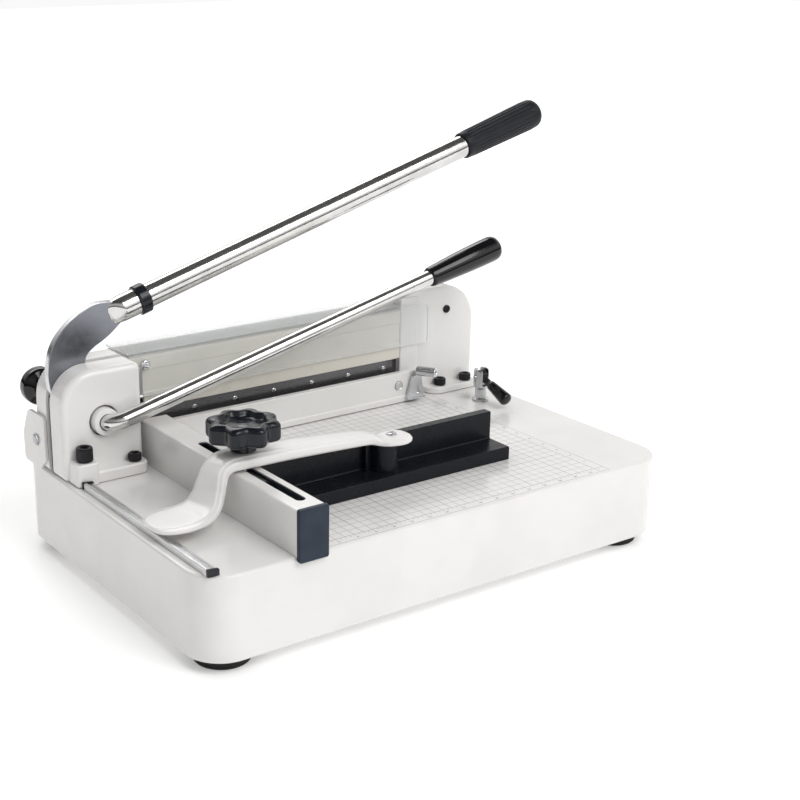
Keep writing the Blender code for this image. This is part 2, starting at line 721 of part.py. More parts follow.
def lever_grip():
    """The ribbed sleeve on the tube's end, domed at the tip."""
    profile = [
        (74, 0), (74, TUBE_RADIUS + GAP), (0, TUBE_RADIUS + GAP), (0, 13.6), (1.2, 14.5), (60, 15.3), (98, 16.3),
        (104, 15.6), (107.5, 13), (109, 9), (109.5, 0),
    ]
    return turned("lever_grip", profile, on_tube(447), tube_direction(), "black_plastic", sides=24)


def crank_pin():
    """The pin that carries the blade at the lever's crank, with a retaining head behind the carrier."""
    profile = [(0, 0), (0, PIN_RADIUS), (16.4, PIN_RADIUS), (16.4, 8), (18.4, 8), (18.4, 0)]
    return turned("crank_pin", profile, (CRANK_X, CRANK_NEAR, CRANK_Z), (0, 1, 0), "steel", sides=24)


# ---------------------------------------------------------------- blade

def blade_carrier():
    """The dark bar that holds the blade, with an eye at each crank and six screw recesses."""
    outline = rounded([
        (CRANK_X - 14, CARRIER_LOW, 6), (CRANK_X + LINK_SPACING + 14, CARRIER_LOW, 6),
        (CRANK_X + LINK_SPACING + 14, CARRIER_HIGH, 6), (CRANK_X - 14, CARRIER_HIGH, 6),
    ], 3)
    bar = slab("blade_carrier", outline, "Y", CARRIER_NEAR, CARRIER_FAR, "black_steel", (CRANK_X, CRANK_Z))
    for index in range(2):
        x = CRANK_X + LINK_SPACING * index
        cut(bar, rod("carrier_eye_%d" % index, PIN_RADIUS + RUNNING + 0.2 * index, (x, 290, CRANK_Z), (0, 1, 0), 40,
                     sides=24))
    for index in range(6):
        x = 163 + 48.2 * index
        cut(bar, rod("carrier_tap_%d" % index, 3.3, (x, 290, 120), (0, 1, 0), 40, sides=10),
            rod("carrier_recess_%d" % index, 9, (x, 306.8, CARRIER_LOW), (0, 1, 0), 20, sides=16))
    return bar


def blade():
    """The knife: a flat bar ground to an edge on the operator's side."""
    bevel = [(299, 82.4), (299.5, 82.4), (303, 93), (303, 134), (299, 134)]
    knife = slab("blade", bevel, "X", 100, 416, "steel")
    for index in range(6):
        cut(knife, rod("blade_hole_%d" % index, 3.3, (163 + 48.2 * index, 290, 120), (0, 1, 0), 40, sides=10))
    return knife


def blade_screw(index):
    """One of the button-head screws through carrier and blade."""
    profile = [(-13.2, 0), (-13.2, 3), (0, 3), (0, 5.5), (1.4, 4.8), (2.4, 2.6), (1.2, 2.2), (1.2, 0)]
    x = 163 + 48.2 * index
    name = "blade_screw_%d" % (index + 1)
    return turned(name, profile, (x, CARRIER_FAR + GAP, 120), (0, 1, 0), "steel", sides=12)


def swing_link():
    """The idle arm in the post that keeps the blade level."""
    pivot_x = PIVOT_X + LINK_SPACING
    pin_x = CRANK_X + LINK_SPACING
    outline = arc(pin_x, CRANK_Z, 11, CRANK_ANGLE - 90, CRANK_ANGLE + 90, 8)
    outline += arc(pivot_x, PIVOT_Z, 11, CRANK_ANGLE + 90, CRANK_ANGLE + 270, 8)
    arm = slab("swing_link", outline, "Y", 312, 318, "steel", (pivot_x, PIVOT_Z))
    cut(arm, rod("link_bore", PIN_RADIUS + RUNNING, (pivot_x, 300, PIVOT_Z), (0, 1, 0), 40, sides=24),
        rod("link_pin_hole", PIN_RADIUS + GAP, (pin_x, 300, CRANK_Z), (0, 1, 0), 40, sides=20))
    return arm


def link_pin():
    """The pin from the swing link into the carrier's far eye."""
    return rod("link_pin", PIN_RADIUS, (CRANK_X + LINK_SPACING, CARRIER_NEAR + 0.2, CRANK_Z), (0, 1, 0), 15, "steel",
               sides=24)


# ---------------------------------------------------------------- clamp

def clamp_beam():
    """The white bar that presses the stack, with a foot lip and a tongue into the casing."""
    outline = rounded([(74, 86, 0), (93, 86, 0), (93, 83, 0), (440, 83, 0), (440, 117, 2), (86, 117, 2), (86, 112, 0),
                       (74, 112, 0)], 3)
    beam = slab("clamp_beam", outline, "Y", CLAMP_NEAR, CLAMP_FAR, "enamel")
    cut(beam, rod("beam_plug_hole", 5.2, (413, 270, 103), (0, 1, 0), 16, sides=20))
    return beam


def clamp_plug():
    """The round grey plug in the clamp's face."""
    return rod("clamp_plug", 4.9, (413, CLAMP_NEAR - 0.6, 103), (0, 1, 0), 4.8, "aluminium", sides=20)


def clamp_rack():
    """The toothed bar inside the casing that lifts the clamp."""
    pitch = math.pi * GEAR_MODULE
    face = PIVOT_X + GEAR_PITCH
    tip = face - GEAR_MODULE * 0.9
    root = face + GEAR_MODULE * 1.15
    slant = GEAR_MODULE * math.tan(math.radians(20))
    half_tooth = pitch / 4 - 0.25
    outline = [(81.5, 88), (81.5, 143)]
    steps = int((143 - PIVOT_Z) / pitch)
    outline.append((root, 143))
    low_steps = int((PIVOT_Z - 90) / pitch)
    for step in range(steps, -low_steps, -1):
        middle = PIVOT_Z + pitch * (step - 0.5)
        outline += [(root, middle + half_tooth + slant), (tip, middle + half_tooth - slant),
                    (tip, middle - half_tooth + slant), (root, middle - half_tooth - slant)]
    outline.append((root, 88))
    return slab("clamp_rack", outline, "Y", 271, 281.2, "steel", (face, PIVOT_Z))


def clamp_pinion():
    """The gear on the clamp lever's hub, in mesh with the rack."""
    outline = []
    root = GEAR_PITCH - GEAR_MODULE * 1.2
    tip = GEAR_PITCH + GEAR_MODULE * 0.9
    for tooth in range(GEAR_TEETH):
        middle = 360.0 * tooth / GEAR_TEETH
        for radius, half_angle in ((root, -4.9), (GEAR_PITCH, -3.25), (tip, -1.45), (tip, 1.45), (GEAR_PITCH, 3.25),
                                   (root, 4.9)):
            angle = math.radians(middle + half_angle)
            outline.append((PIVOT_X + radius * math.cos(angle), PIVOT_Z + radius * math.sin(angle)))
    gear = slab("clamp_pinion", outline, "Y", 272, 280, "steel", (PIVOT_X, PIVOT_Z))
    cut(gear, rod("pinion_bore", SHAFT_RADIUS + RUNNING, (PIVOT_X, 260, PIVOT_Z), (0, 1, 0), 40, sides=24))
    return gear


def clamp_hub():
    """The white disc in the casing's front that the clamp rod enters."""
    profile = [
        (0, ROD_RADIUS + GAP), (0, 12.5), (1, 13.5), (13.7, 13.5), (13.7, SHAFT_RADIUS + RUNNING),
        (8, SHAFT_RADIUS + RUNNING), (8, ROD_RADIUS + GAP),
    ]
    return turned("clamp_hub", profile, (PIVOT_X, 258, PIVOT_Z), (0, 1, 0), "enamel", sides=24, ring=True)


def rod_direction():
    """Unit direction of the clamp rod's long leg."""
    slope = math.radians(ROD_SLOPE)
    return Vector((math.cos(slope), 0.0, math.sin(slope)))


def on_rod(distance):
    """Point on the clamp rod's axis at a distance from the pivot's axis."""
    return Vector((PIVOT_X, ROD_Y, PIVOT_Z)) + rod_direction() * distance


def clamp_rod():
    """The bent chromed rod of the clamp lever."""
    end = on_rod(450)
    return bent_bar("clamp_rod", [(PIVOT_X, 265.8, PIVOT_Z, 0), (PIVOT_X, ROD_Y, PIVOT_Z, 10.4),
                                  (end.x, end.y, end.z, 0)], ROD_RADIUS, "chrome")


def clamp_grip():
    """The glossy tapered handle on the clamp rod."""
    profile = [
        (60, 0), (60, ROD_RADIUS + GAP), (0, ROD_RADIUS + GAP), (0, 9.6), (1.5, 10.5), (25, 11.4), (60, 13.0), (84, 13.9),
        (90, 13.5), (94, 11), (95.5, 6), (96, 0),
    ]
    return turned("clamp_grip", profile, on_rod(391.5), rod_direction(), "gloss_black", sides=24)


def clamp_bracket():
    """The chromed triangular plate on the clamp's right end."""
    outline = rounded([(421, 86, 1), (446, 86, 1), (441, 112, 3), (429, 112, 3)], 3)
    return slab("clamp_bracket", outline, "Y", 276.5, CLAMP_NEAR - GAP, "chrome")


def clamp_roller():
    """The short chromed tube above the bracket, with a dark bore."""
    profile = [(0, 2.8), (0, 5.5), (22, 5.5), (22, 2.8)]
    return turned("clamp_roller", profile, (434, 277.0, 118.3), (0.55, -0.83, 0), "chrome", sides=20, ring=True)


# ---------------------------------------------------------------- small hand parts

def cam_stud():
    """The chromed post of the quick lever, forked at its top."""
    profile = [
        (-14, 0), (-14, 3.9), (0, 3.9), (0, 9), (2, 9), (3, 6.5), (14, 6.5), (16, 8.5), (36, 8.5), (37, 7.5),
        (37, 0),
    ]
    stud = turned("cam_stud", profile, (498, 242, ON_TABLE), (0, 0, 1), "chrome", sides=24)
    cut(stud, block("cam_fork_gap", (493.7, 220, 100), (502.3, 262, 130)))
    join(stud, rod("cam_pin", 2.3, (487.5, 242, 110), (1, 0, 0), 21, sides=16))
    return stud


def cam_handle():
    """The black cam with its tapered handle, resting down towards the gauge side."""
    handle = rod("cam_handle", 8.0, (494, 242, 110), (1, 0, 0), 8, "gloss_black", sides=24)
    profile = [(5, 0), (5, 3.9), (16, 3.9), (20, 5.2), (44, 7.4), (47, 6.6), (48, 4.5), (48, 0)]
    drop = math.radians(-21)
    arm = turned("cam_arm", profile, (498, 242, 110), (0, -math.cos(drop), math.sin(drop)), None, sides=20)
    join(handle, arm)
    cut(handle, rod("cam_bore", 2.5, (480, 242, 110), (1, 0, 0), 40, sides=16))
    return handle


def safety_knob():
    """The mushroom knob of the lever lock, in one piece with its spring pin."""
    profile = [
        (0, 0), (0, 3.5), (1, 5), (31, 5), (31, 11), (34, 15), (37, 18.4), (40, 19), (47, 19), (50.5, 17), (52, 12),
        (52.4, 0),
    ]
    return turned("safety_knob", profile, (13, 300.3, 158), (0, 1, 0), "gloss_black", sides=24)


# ---------------------------------------------------------------- assembly

def build():
    """Make every piece and hang the moving ones on their joints."""
    base_shell()
    bottom_plate()
    for row, y in enumerate((FOOT_INSET, BASE_DEPTH - FOOT_INSET)):
        for column, x in enumerate((FOOT_INSET, BASE_LENGTH - FOOT_INSET)):
            foot("foot_%d" % (2 * row + column + 1), x, y)
    cutting_stick()
    scale_rail()
    rail_cap("scale_rail_cap_outer", 6.5, 9.7)
    rail_cap("scale_rail_cap_inner", 240.8, 244.0)
    side_guide()
    side_guide_cap()
    casing_near()
    casing_far()
    side_bracket()
    side_bracket_bolt()
    pivot_shaft()
    right_post()
    top_beam()
    rear_guard()
    socket_screw("casing_bolt_main", (17, 255.2, 105.3), (0, 0, 1), 8, 14, 5.0, 35, "black_steel")
    socket_screw("casing_bolt_low", (71, 257, 94.3), (0, 0, 1), 6.5, 8, 4.0, 24, "black_steel")
    socket_screw("post_bolt_left", (479, 291.5, 90.3), (0, 0, 1), 6.5, 8, 4.0, 20, "black_steel")
    socket_screw("post_bolt_right", (515, 290.5, 90.3), (0, 0, 1), 6.5, 8, 4.0, 20, "black_steel")
    slotted_screw("guard_screw", (104, 291.7, 177), (0, -1, 0), 5.2, 2.4, 1.8, 6.6, "chrome", (1, 0, 0))
    slotted_screw("post_screw", (491, 298.7, 176), (0, -1, 0), 4.5, 2.6, 2.5, 3.8, "black_steel", (0, 0, 1))
    cam_stud()

    blade_axis = pivot("blade_lever_axis", at(PIVOT_X, 296, PIVOT_Z))
    hang(blade_axis, lever_plate(), lever_socket(), lever_collar(), lever_tube(), lever_grip(), crank_pin())
    carrier_axis = pivot("carrier_axis", at(CRANK_X, 307, CRANK_Z))
    hang(carrier_axis, blade_carrier(), blade(), *[blade_screw(index) for index in range(6)])
    link_axis = pivot("link_axis", at(PIVOT_X + LINK_SPACING, 315, PIVOT_Z))
    hang(link_axis, swing_link(), link_pin())
    clamp_axis = pivot("clamp_lever_axis", at(PIVOT_X, 276, PIVOT_Z))
    hang(clamp_axis, clamp_hub(), clamp_pinion(), clamp_rod(), clamp_grip())
    clamp_slide = pivot("clamp_slide", at(PIVOT_X + GEAR_PITCH, 276, PIVOT_Z))
    hang(clamp_slide, clamp_rack(), clamp_beam(), clamp_plug(), clamp_bracket(), clamp_roller())
    gauge_slide = pivot("gauge_slide", at(KNOB_X, KNOB_Y, ON_TABLE))
    screw = slotted_screw("arm_screw", (262, 96, 131.1), (0, 0, 1), 5.0, 1.8, 3.0, 20, "chrome", (1, 0, 0))
    hang(gauge_slide, gauge_carriage(), gauge_arm(), gauge_pusher(), screw)
    knob_axis = pivot("star_knob_axis", at(KNOB_X, KNOB_Y, 142))
    hang(knob_axis, star_knob(), knob_stud())
    cam_handle()
    safety_knob()


build()
for piece in PARTS.objects:
    if piece.type == "MESH":
        piece.data.shade_smooth()
        piece.data.set_sharp_from_angle(angle=math.radians(35))
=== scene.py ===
# %% [markdown]
# # A guillotine paper cutter
# The machine is a hollow enamelled base with a measuring table, a pivot casing on the left, a post on the
# right, and between them the blade, the clamp bar and a clear guard. The solids and the joints come from the
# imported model, which is the frame. This script gives each visible piece its fine shape and its finish. Every
# piece rides on the body that carries its solid, so it moves when the levers move.

# %% Load the frame and remember its size
import math

import bmesh
import bpy
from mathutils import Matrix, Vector


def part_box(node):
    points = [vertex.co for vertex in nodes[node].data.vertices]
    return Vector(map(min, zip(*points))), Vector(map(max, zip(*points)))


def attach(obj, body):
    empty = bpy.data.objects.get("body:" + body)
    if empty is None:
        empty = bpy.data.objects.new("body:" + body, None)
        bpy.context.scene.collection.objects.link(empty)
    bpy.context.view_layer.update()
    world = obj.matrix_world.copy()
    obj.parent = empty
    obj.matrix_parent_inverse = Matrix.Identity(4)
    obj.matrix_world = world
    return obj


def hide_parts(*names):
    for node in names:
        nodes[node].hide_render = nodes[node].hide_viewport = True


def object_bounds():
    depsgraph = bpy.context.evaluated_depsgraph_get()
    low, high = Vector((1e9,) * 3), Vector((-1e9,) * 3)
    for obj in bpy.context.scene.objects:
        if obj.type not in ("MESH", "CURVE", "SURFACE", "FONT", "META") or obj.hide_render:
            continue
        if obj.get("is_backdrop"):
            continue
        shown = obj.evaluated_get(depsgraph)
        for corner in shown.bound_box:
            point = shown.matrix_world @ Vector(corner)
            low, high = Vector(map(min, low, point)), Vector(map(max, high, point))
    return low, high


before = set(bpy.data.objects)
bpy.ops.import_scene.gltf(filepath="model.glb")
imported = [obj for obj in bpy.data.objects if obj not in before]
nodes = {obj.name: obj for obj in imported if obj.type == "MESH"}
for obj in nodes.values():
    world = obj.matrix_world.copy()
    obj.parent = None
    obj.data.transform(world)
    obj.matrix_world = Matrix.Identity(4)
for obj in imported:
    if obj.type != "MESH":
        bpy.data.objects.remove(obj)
cad_low, cad_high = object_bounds()
base_low, base_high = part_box("base_shell")
print("solids:", len(nodes), "size:", [round(v, 3) for v in cad_high - cad_low])

# %% [markdown]
# A maker measures this machine from the lower left corner of its base: x along the blade, y from the gauge
# side to the operator, z up, all in millimetres. It is easier to read 82 than 0.082, so every shape below is
# written that way, and one function turns such a point into a place in the frame. Bends and rounded corners
# are worked out from a radius, as they would be on a drawing.

# %% Points and outlines
MM = 0.001
LENGTH, DEPTH, TABLE = [(high - low) / MM for low, high in zip(base_low, base_high)]
RIGHT, ACROSS, UP = (1, 0, 0), (0, 1, 0), (0, 0, 1)


def spot(x, y, z):
    return base_low + Vector((x, y, z)) * MM


def span(node):
    """A solid's lowest and highest corner in the maker's millimetres."""
    low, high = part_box(node)
    return (low - base_low) / MM, (high - base_low) / MM


def arc(a, b, radius, start, end, steps):
    turns = [math.radians(start + (end - start) * i / steps) for i in range(steps + 1)]
    return [(a + radius * math.cos(t), b + radius * math.sin(t)) for t in turns]


def rounded(corners, steps=8):
    """Outline of a polygon given as (a, b, corner radius)."""
    points = []
    for i, (a, b, radius) in enumerate(corners):
        here = Vector((a, b))
        if radius <= 0:
            points.append((a, b))
            continue
        before = (Vector(corners[i - 1][:2]) - here).normalized()
        after = (Vector(corners[(i + 1) % len(corners)][:2]) - here).normalized()
        half = before.angle(after) / 2
        centre = here + (before + after).normalized() * (radius / math.sin(half))
        first = here + before * (radius / math.tan(half)) - centre
        turn = math.pi - 2 * half
        if before.x * after.y - before.y * after.x > 0:
            turn = -turn
        for k in range(steps + 1):
            t = turn * k / steps
            points.append((centre.x + first.x * math.cos(t) - first.y * math.sin(t),
                           centre.y + first.x * math.sin(t) + first.y * math.cos(t)))
    return points


def rectangle(a0, a1, b0, b1, radius=0.0, steps=8):
    return rounded([(a0, b0, radius), (a1, b0, radius), (a1, b1, radius), (a0, b1, radius)], steps)


def fade(value, low, high):
    """0 up to low, 1 from high on, straight between."""
    return min(max((value - low) / (high - low), 0), 1)


def ease(value, low, high):
    """The same with soft ends."""
    t = fade(value, low, high)
    return t * t * (3 - 2 * t)


print("table height:", round(TABLE, 2), "mm")

# %% [markdown]
# Every piece starts as a mesh under construction and becomes an object. Its modifiers, such as a Bevel, are
# applied at once, so that the mesh says exactly what the piece is and no helper is left in the scene.

# %% From a mesh to an object
def show(name, data):
    obj = bpy.data.objects.new(name, data)
    bpy.context.scene.collection.objects.link(obj)
    return obj


def keep_mesh(name, work):
    bmesh.ops.recalc_face_normals(work, faces=work.faces)
    mesh = bpy.data.meshes.new(name)
    work.to_mesh(mesh)
    work.free()
    return show(name, mesh)


def evaluated(obj):
    """The mesh that a curve, a text or a set of modifiers makes."""
    return bpy.data.meshes.new_from_object(obj.evaluated_get(bpy.context.evaluated_depsgraph_get()))


def bake(obj):
    """Replace a mesh by what its modifiers make of it."""
    mesh = evaluated(obj)
    obj.modifiers.clear()
    obj.data = mesh
    return obj


print("mesh helpers ready")

# %% [markdown]
# A plate or a casting is an outline pushed through a thickness, with its edges rounded by a Bevel. A letter
# says which way it is pushed: X along the blade, Y across the table, Z up.

# %% Plates and blocks
AXES = {"X": lambda a, b, d: (d, a, b), "Y": lambda a, b, d: (a, d, b), "Z": lambda a, b, d: (a, b, d)}


def soften(obj, width, segments):
    bevel = obj.modifiers.new("edges", "BEVEL")
    bevel.width = width * MM
    bevel.segments = segments
    bevel.limit_method = "ANGLE"
    bevel.angle_limit = math.radians(35)
    return bake(obj)


def slab(name, outline, axis, low, high, edge=0.0, segments=3):
    work = bmesh.new()
    ring = [work.verts.new(spot(*AXES[axis](a, b, low))) for a, b in outline]
    face = work.faces.new(ring)
    grown = bmesh.ops.extrude_face_region(work, geom=[face])["geom"]
    push = Vector(AXES[axis](0, 0, high - low)) * MM
    bmesh.ops.translate(work, vec=push, verts=[g for g in grown if isinstance(g, bmesh.types.BMVert)])
    obj = keep_mesh(name, work)
    return soften(obj, edge, segments) if edge else obj


def block(name, low, high, edge=0.0, segments=3):
    return slab(name, rectangle(low[0], high[0], low[1], high[1]), "Z", low[2], high[2], edge, segments)


print("plates are pushed along", ", ".join(AXES))

# %% [markdown]
# Knobs, tubes and feet are turned: a half profile goes round an axis, and a function may pull its rings out of
# round for lobes, ribs or knurling. The clamp lever's rod is a curve with a round section.

# %% Turned and swept bodies
def turned(name, profile, start, direction, sides=64, shape=None):
    """Rings of (distance, radius) round an axis; shape(angle, radius) may pull a ring out of round."""
    z = Vector(direction).normalized()
    x = Vector(RIGHT) if abs(z.y) > 0.9 else (Vector(ACROSS) - z * z.y).normalized()
    y = z.cross(x)
    centre = Vector(start)
    work = bmesh.new()
    rings = []
    for along, radius in profile:
        here = centre + z * along
        if radius <= 0:
            rings.append([work.verts.new(spot(*here))])
            continue
        ring = []
        for k in range(sides):
            t = 2 * math.pi * k / sides
            r = shape(t, radius, along) if shape else radius
            ring.append(work.verts.new(spot(*(here + x * (r * math.cos(t)) + y * (r * math.sin(t))))))
        rings.append(ring)
    closed = len(rings[0]) > 1 and len(rings[-1]) > 1
    pairs = list(zip(rings, rings[1:])) + ([(rings[-1], rings[0])] if closed else [])
    for a, b in pairs:
        for k in range(sides):
            n = (k + 1) % sides
            if len(a) == 1:
                work.faces.new((a[0], b[k], b[n]))
            elif len(b) == 1:
                work.faces.new((a[k], a[n], b[0]))
            else:
                work.faces.new((a[k], a[n], b[n], b[k]))
    return keep_mesh(name, work)


def bar(name, radius, start, direction, length, sides=48):
    return turned(name, [(0, 0), (0, radius), (length, radius), (length, 0)], start, direction, sides)


def drill(radius, x, z, start=280, length=40, sides=24):
    """A drill that comes from the gauge side."""
    return bar("drill", radius, (x, start, z), ACROSS, length, sides)


def swept(name, path, radius, steps=12):
    """A round bar along a path of (x, y, z, bend radius)."""
    points = []
    for i, (x, y, z, bend) in enumerate(path):
        here = Vector((x, y, z))
        if bend <= 0:
            points.append(here)
            continue
        before = (Vector(path[i - 1][:3]) - here).normalized()
        after = (Vector(path[i + 1][:3]) - here).normalized()
        half = before.angle(after) / 2
        centre = here + (before + after).normalized() * (bend / math.sin(half))
        first = (here + before * (bend / math.tan(half)) - centre).normalized()
        last = (here + after * (bend / math.tan(half)) - centre).normalized()
        points += [centre + first.slerp(last, k / steps) * bend for k in range(steps + 1)]
    curve = bpy.data.curves.new(name, "CURVE")
    curve.dimensions = "3D"
    curve.bevel_depth = radius * MM
    curve.bevel_resolution = 12
    curve.use_fill_caps = True
    spline = curve.splines.new("POLY")
    spline.points.add(len(points) - 1)
    for point, place in zip(spline.points, points):
        point.co = (*spot(*place), 1.0)
    holder = show(name + "_path", curve)
    work = bmesh.new()
    work.from_mesh(evaluated(holder))
    bmesh.ops.remove_doubles(work, verts=work.verts, dist=0.000001)
    bpy.data.objects.remove(holder, do_unlink=True)
    return keep_mesh(name, work)


print("turned and swept bodies ready")

# %% [markdown]
# Holes and pockets are cut with a Boolean, whose result is kept and whose cutter is thrown away. A finished
# piece then gets its material, shading that is smooth except at real edges, the body that it moves with, and
# the solids that it stands for.

# %% Cut, join and fit
def combine(obj, others, operation):
    for other in others:
        step = obj.modifiers.new("join", "BOOLEAN")
        step.operation = operation
        step.solver = "EXACT"
        step.object = other
    bake(obj)
    for other in others:
        bpy.data.objects.remove(other, do_unlink=True)
    return obj


def cut(obj, *others):
    return combine(obj, others, "DIFFERENCE")


def join(obj, *others):
    return combine(obj, others, "UNION")


def fit(obj, body, material, slot, *replaced, crease=32):
    """Hand a finished piece its finish, its body and the solids that it stands for."""
    obj.data.materials.clear()
    obj.data.materials.append(material)
    obj.data.shade_smooth()
    obj.data.set_sharp_from_angle(angle=math.radians(crease))
    even = obj.modifiers.new("even normals", "WEIGHTED_NORMAL")
    even.keep_sharp = True
    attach(obj, body)
    if replaced:
        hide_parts(*replaced)
    return obj


print("pieces can be cut, joined and fitted")

# %% [markdown]
# Finishes are node materials. Writing each Math node by hand hides the idea, so a socket is wrapped in a
# small class: adding, multiplying or subtracting wrapped sockets adds the nodes.

# %% A socket that can do arithmetic
class Wire:
    def __init__(self, graph, socket):
        self.graph = graph
        self.socket = socket

    def math(self, operation, *others):
        return self.graph.node("ShaderNodeMath", {"operation": operation}, [self, *others])

    def __add__(self, other):
        return self.math("ADD", other)

    def __sub__(self, other):
        return self.math("SUBTRACT", other)

    def __rsub__(self, other):
        return self.graph.node("ShaderNodeMath", {"operation": "SUBTRACT"}, [other, self])

    def __mul__(self, other):
        return self.math("MULTIPLY", other)

    def __truediv__(self, other):
        return self.math("DIVIDE", other)

    __radd__ = __add__
    __rmul__ = __mul__

    def less(self, limit):
        return self.math("LESS_THAN", limit)

    def more(self, limit):
        return self.math("GREATER_THAN", limit)

    def ramp(self, low, high, to_low=0.0, to_high=1.0):
        """Smooth step from one level to another."""
        return self.graph.node("ShaderNodeMapRange", {"interpolation_type": "SMOOTHSTEP"},
                               [self, low, high, to_low, to_high])


print("sockets ready for arithmetic")

# %% [markdown]
# Any node that isn't arithmetic comes from one method. It takes the node's type, its settings, and what goes
# into its sockets, in order or by name. The studio's surround is made with it too.

# %% Node trees
class Graph:
    def __init__(self, tree):
        self.tree = tree

    def plug(self, socket, value):
        if isinstance(value, Wire):
            self.tree.links.new(value.socket, socket)
        elif isinstance(value, tuple) and len(value) == 3 and socket.type == "RGBA":
            socket.default_value = (*value, 1.0)
        else:
            socket.default_value = value

    def node(self, kind, settings=None, values=(), out=0):
        made = self.tree.nodes.new(kind)
        for key, value in (settings or {}).items():
            if key == "stops":
                while len(made.color_ramp.elements) < len(value):
                    made.color_ramp.elements.new(0.5)
                for element, (place, colour) in zip(made.color_ramp.elements, value):
                    element.position = place
                    element.color = (*colour, 1.0)
            else:
                setattr(made, key, value)
        for key, value in values.items() if isinstance(values, dict) else enumerate(values):
            self.plug(made.inputs[key], value)
        return Wire(self, made.outputs[out])

    def split(self, vector):
        """The x, y and z of a vector."""
        made = self.node("ShaderNodeSeparateXYZ", {}, [vector]).socket.node
        return [Wire(self, socket) for socket in made.outputs]

    def blend(self, factor, first, second):
        """Mix of two colours."""
        return self.node("ShaderNodeMix", {"data_type": "RGBA"}, {0: factor, 6: first, 7: second}, 2)


print("node trees ready")

# %% [markdown]
# A finish is a tree that ends in the Principled shader. Its patterns are laid out in the piece's own space and
# in millimetres, so that a grain keeps its size from piece to piece.

# %% Finishes
class Finish(Graph):
    """A material whose Principled shader is fed by wires and plain numbers."""

    def __init__(self, name, **plain):
        self.material = bpy.data.materials.new(name)
        self.material.use_nodes = True
        super().__init__(self.material.node_tree)
        self.shader = self.tree.nodes["Principled BSDF"]
        self.feed(**plain)

    def feed(self, **sockets):
        for key, value in sockets.items():
            self.plug(self.shader.inputs[key.replace("_", " ")], value)

    def fed(self, key):
        """What already feeds one of the shader's sockets."""
        return Wire(self, self.shader.inputs[key].links[0].from_socket)

    def place(self, scale=(1, 1, 1)):
        """Position on the piece in millimetres, stretched by a scale."""
        coords = self.node("ShaderNodeTexCoord", out=3)
        return self.node("ShaderNodeVectorMath", {"operation": "MULTIPLY"},
                         [coords, tuple(1000.0 * s for s in scale)])

    def from_corner(self):
        """x, y and z in millimetres from the base's corner."""
        return [wire - low / MM for wire, low in zip(self.split(self.place()), base_low)]

    def facing(self):
        """x, y and z of the direction that the surface faces."""
        return self.split(self.node("ShaderNodeTexCoord", out=1))

    def noise(self, size, detail=3.0, rough=0.5, scale=(1, 1, 1)):
        """Cloudy value from 0 to 1 whose blotches are about that many millimetres across."""
        return self.node("ShaderNodeTexNoise", {}, {"Vector": self.place(scale), "Scale": 1.0 / size,
                                                    "Detail": detail, "Roughness": rough})

    def bump(self, height, strength, depth):
        """Normal from a height, with the depth in millimetres."""
        values = {"Strength": strength, "Distance": depth * MM, "Height": height}
        self.feed(Normal=self.node("ShaderNodeBump", {}, values))


print("finishes ready")

# %% [markdown]
# The body is stove enamel, a thick glossy paint. Close up it isn't flat: it has a fine waviness called orange
# peel, and its gloss varies a little where hands and cloths have been. The base, casing, post and gauge arm
# share it. The channel over the blade is a slightly yellower cream.

# %% Enamel
WHITE = (0.80, 0.79, 0.775)
CREAM = (0.72, 0.69, 0.62)


def shade(colour, factor, lift=0.0):
    return tuple(c * factor + lift for c in colour)


def enamel(name, colour, rough=0.2):
    paint = Finish(name, Coat_Weight=0.25, Coat_Roughness=0.12, Specular_IOR_Level=0.45)
    paint.feed(Base_Color=paint.blend(paint.noise(55, 2).ramp(0.35, 0.7), colour, shade(colour, 0.955)))
    paint.feed(Roughness=paint.noise(30, 3).ramp(0.3, 0.75, rough - 0.03, rough + 0.06))
    paint.bump(paint.noise(6, 2) * 0.5 + paint.noise(14, 1), 0.12, 0.12)
    return paint


white_enamel = enamel("white_enamel", WHITE).material
cream_enamel = enamel("cream_enamel", CREAM, 0.3).material
print("enamels:", white_enamel.name, cream_enamel.name)

# %% [markdown]
# The table carries a printed measuring grid of 10 mm squares. A picture of it would be one way, but the lines
# follow a rule, so they are computed: the distance to the nearest multiple of ten gives each line, and four
# comparisons keep the print inside its frame and on the top only. Along the front runs a scale with a tick
# every 5 mm between two border lines.

# %% Table enamel with its printed grid
GRID_LEFT, GRID_RIGHT, GRID_FRONT, GRID_BACK = 120.0, 450.0, 14.0, 284.0
FRONT_BORDER, SIDE_BORDER, TICK = 4.2, 461.8, 3.2


def stripes(value, pitch, width):
    """Lines at the multiples of a pitch, with slightly soft edges."""
    off = (value / pitch + 0.5).math("FRACT") - 0.5
    return (off.math("ABSOLUTE") * pitch).ramp(width * 0.5, width * 0.5 + 0.18, 1.0, 0.0)


def inside(value, low, high):
    return value.more(low) * value.less(high)


def line(value, middle, width):
    return (value - middle).math("ABSOLUTE").less(width / 2)


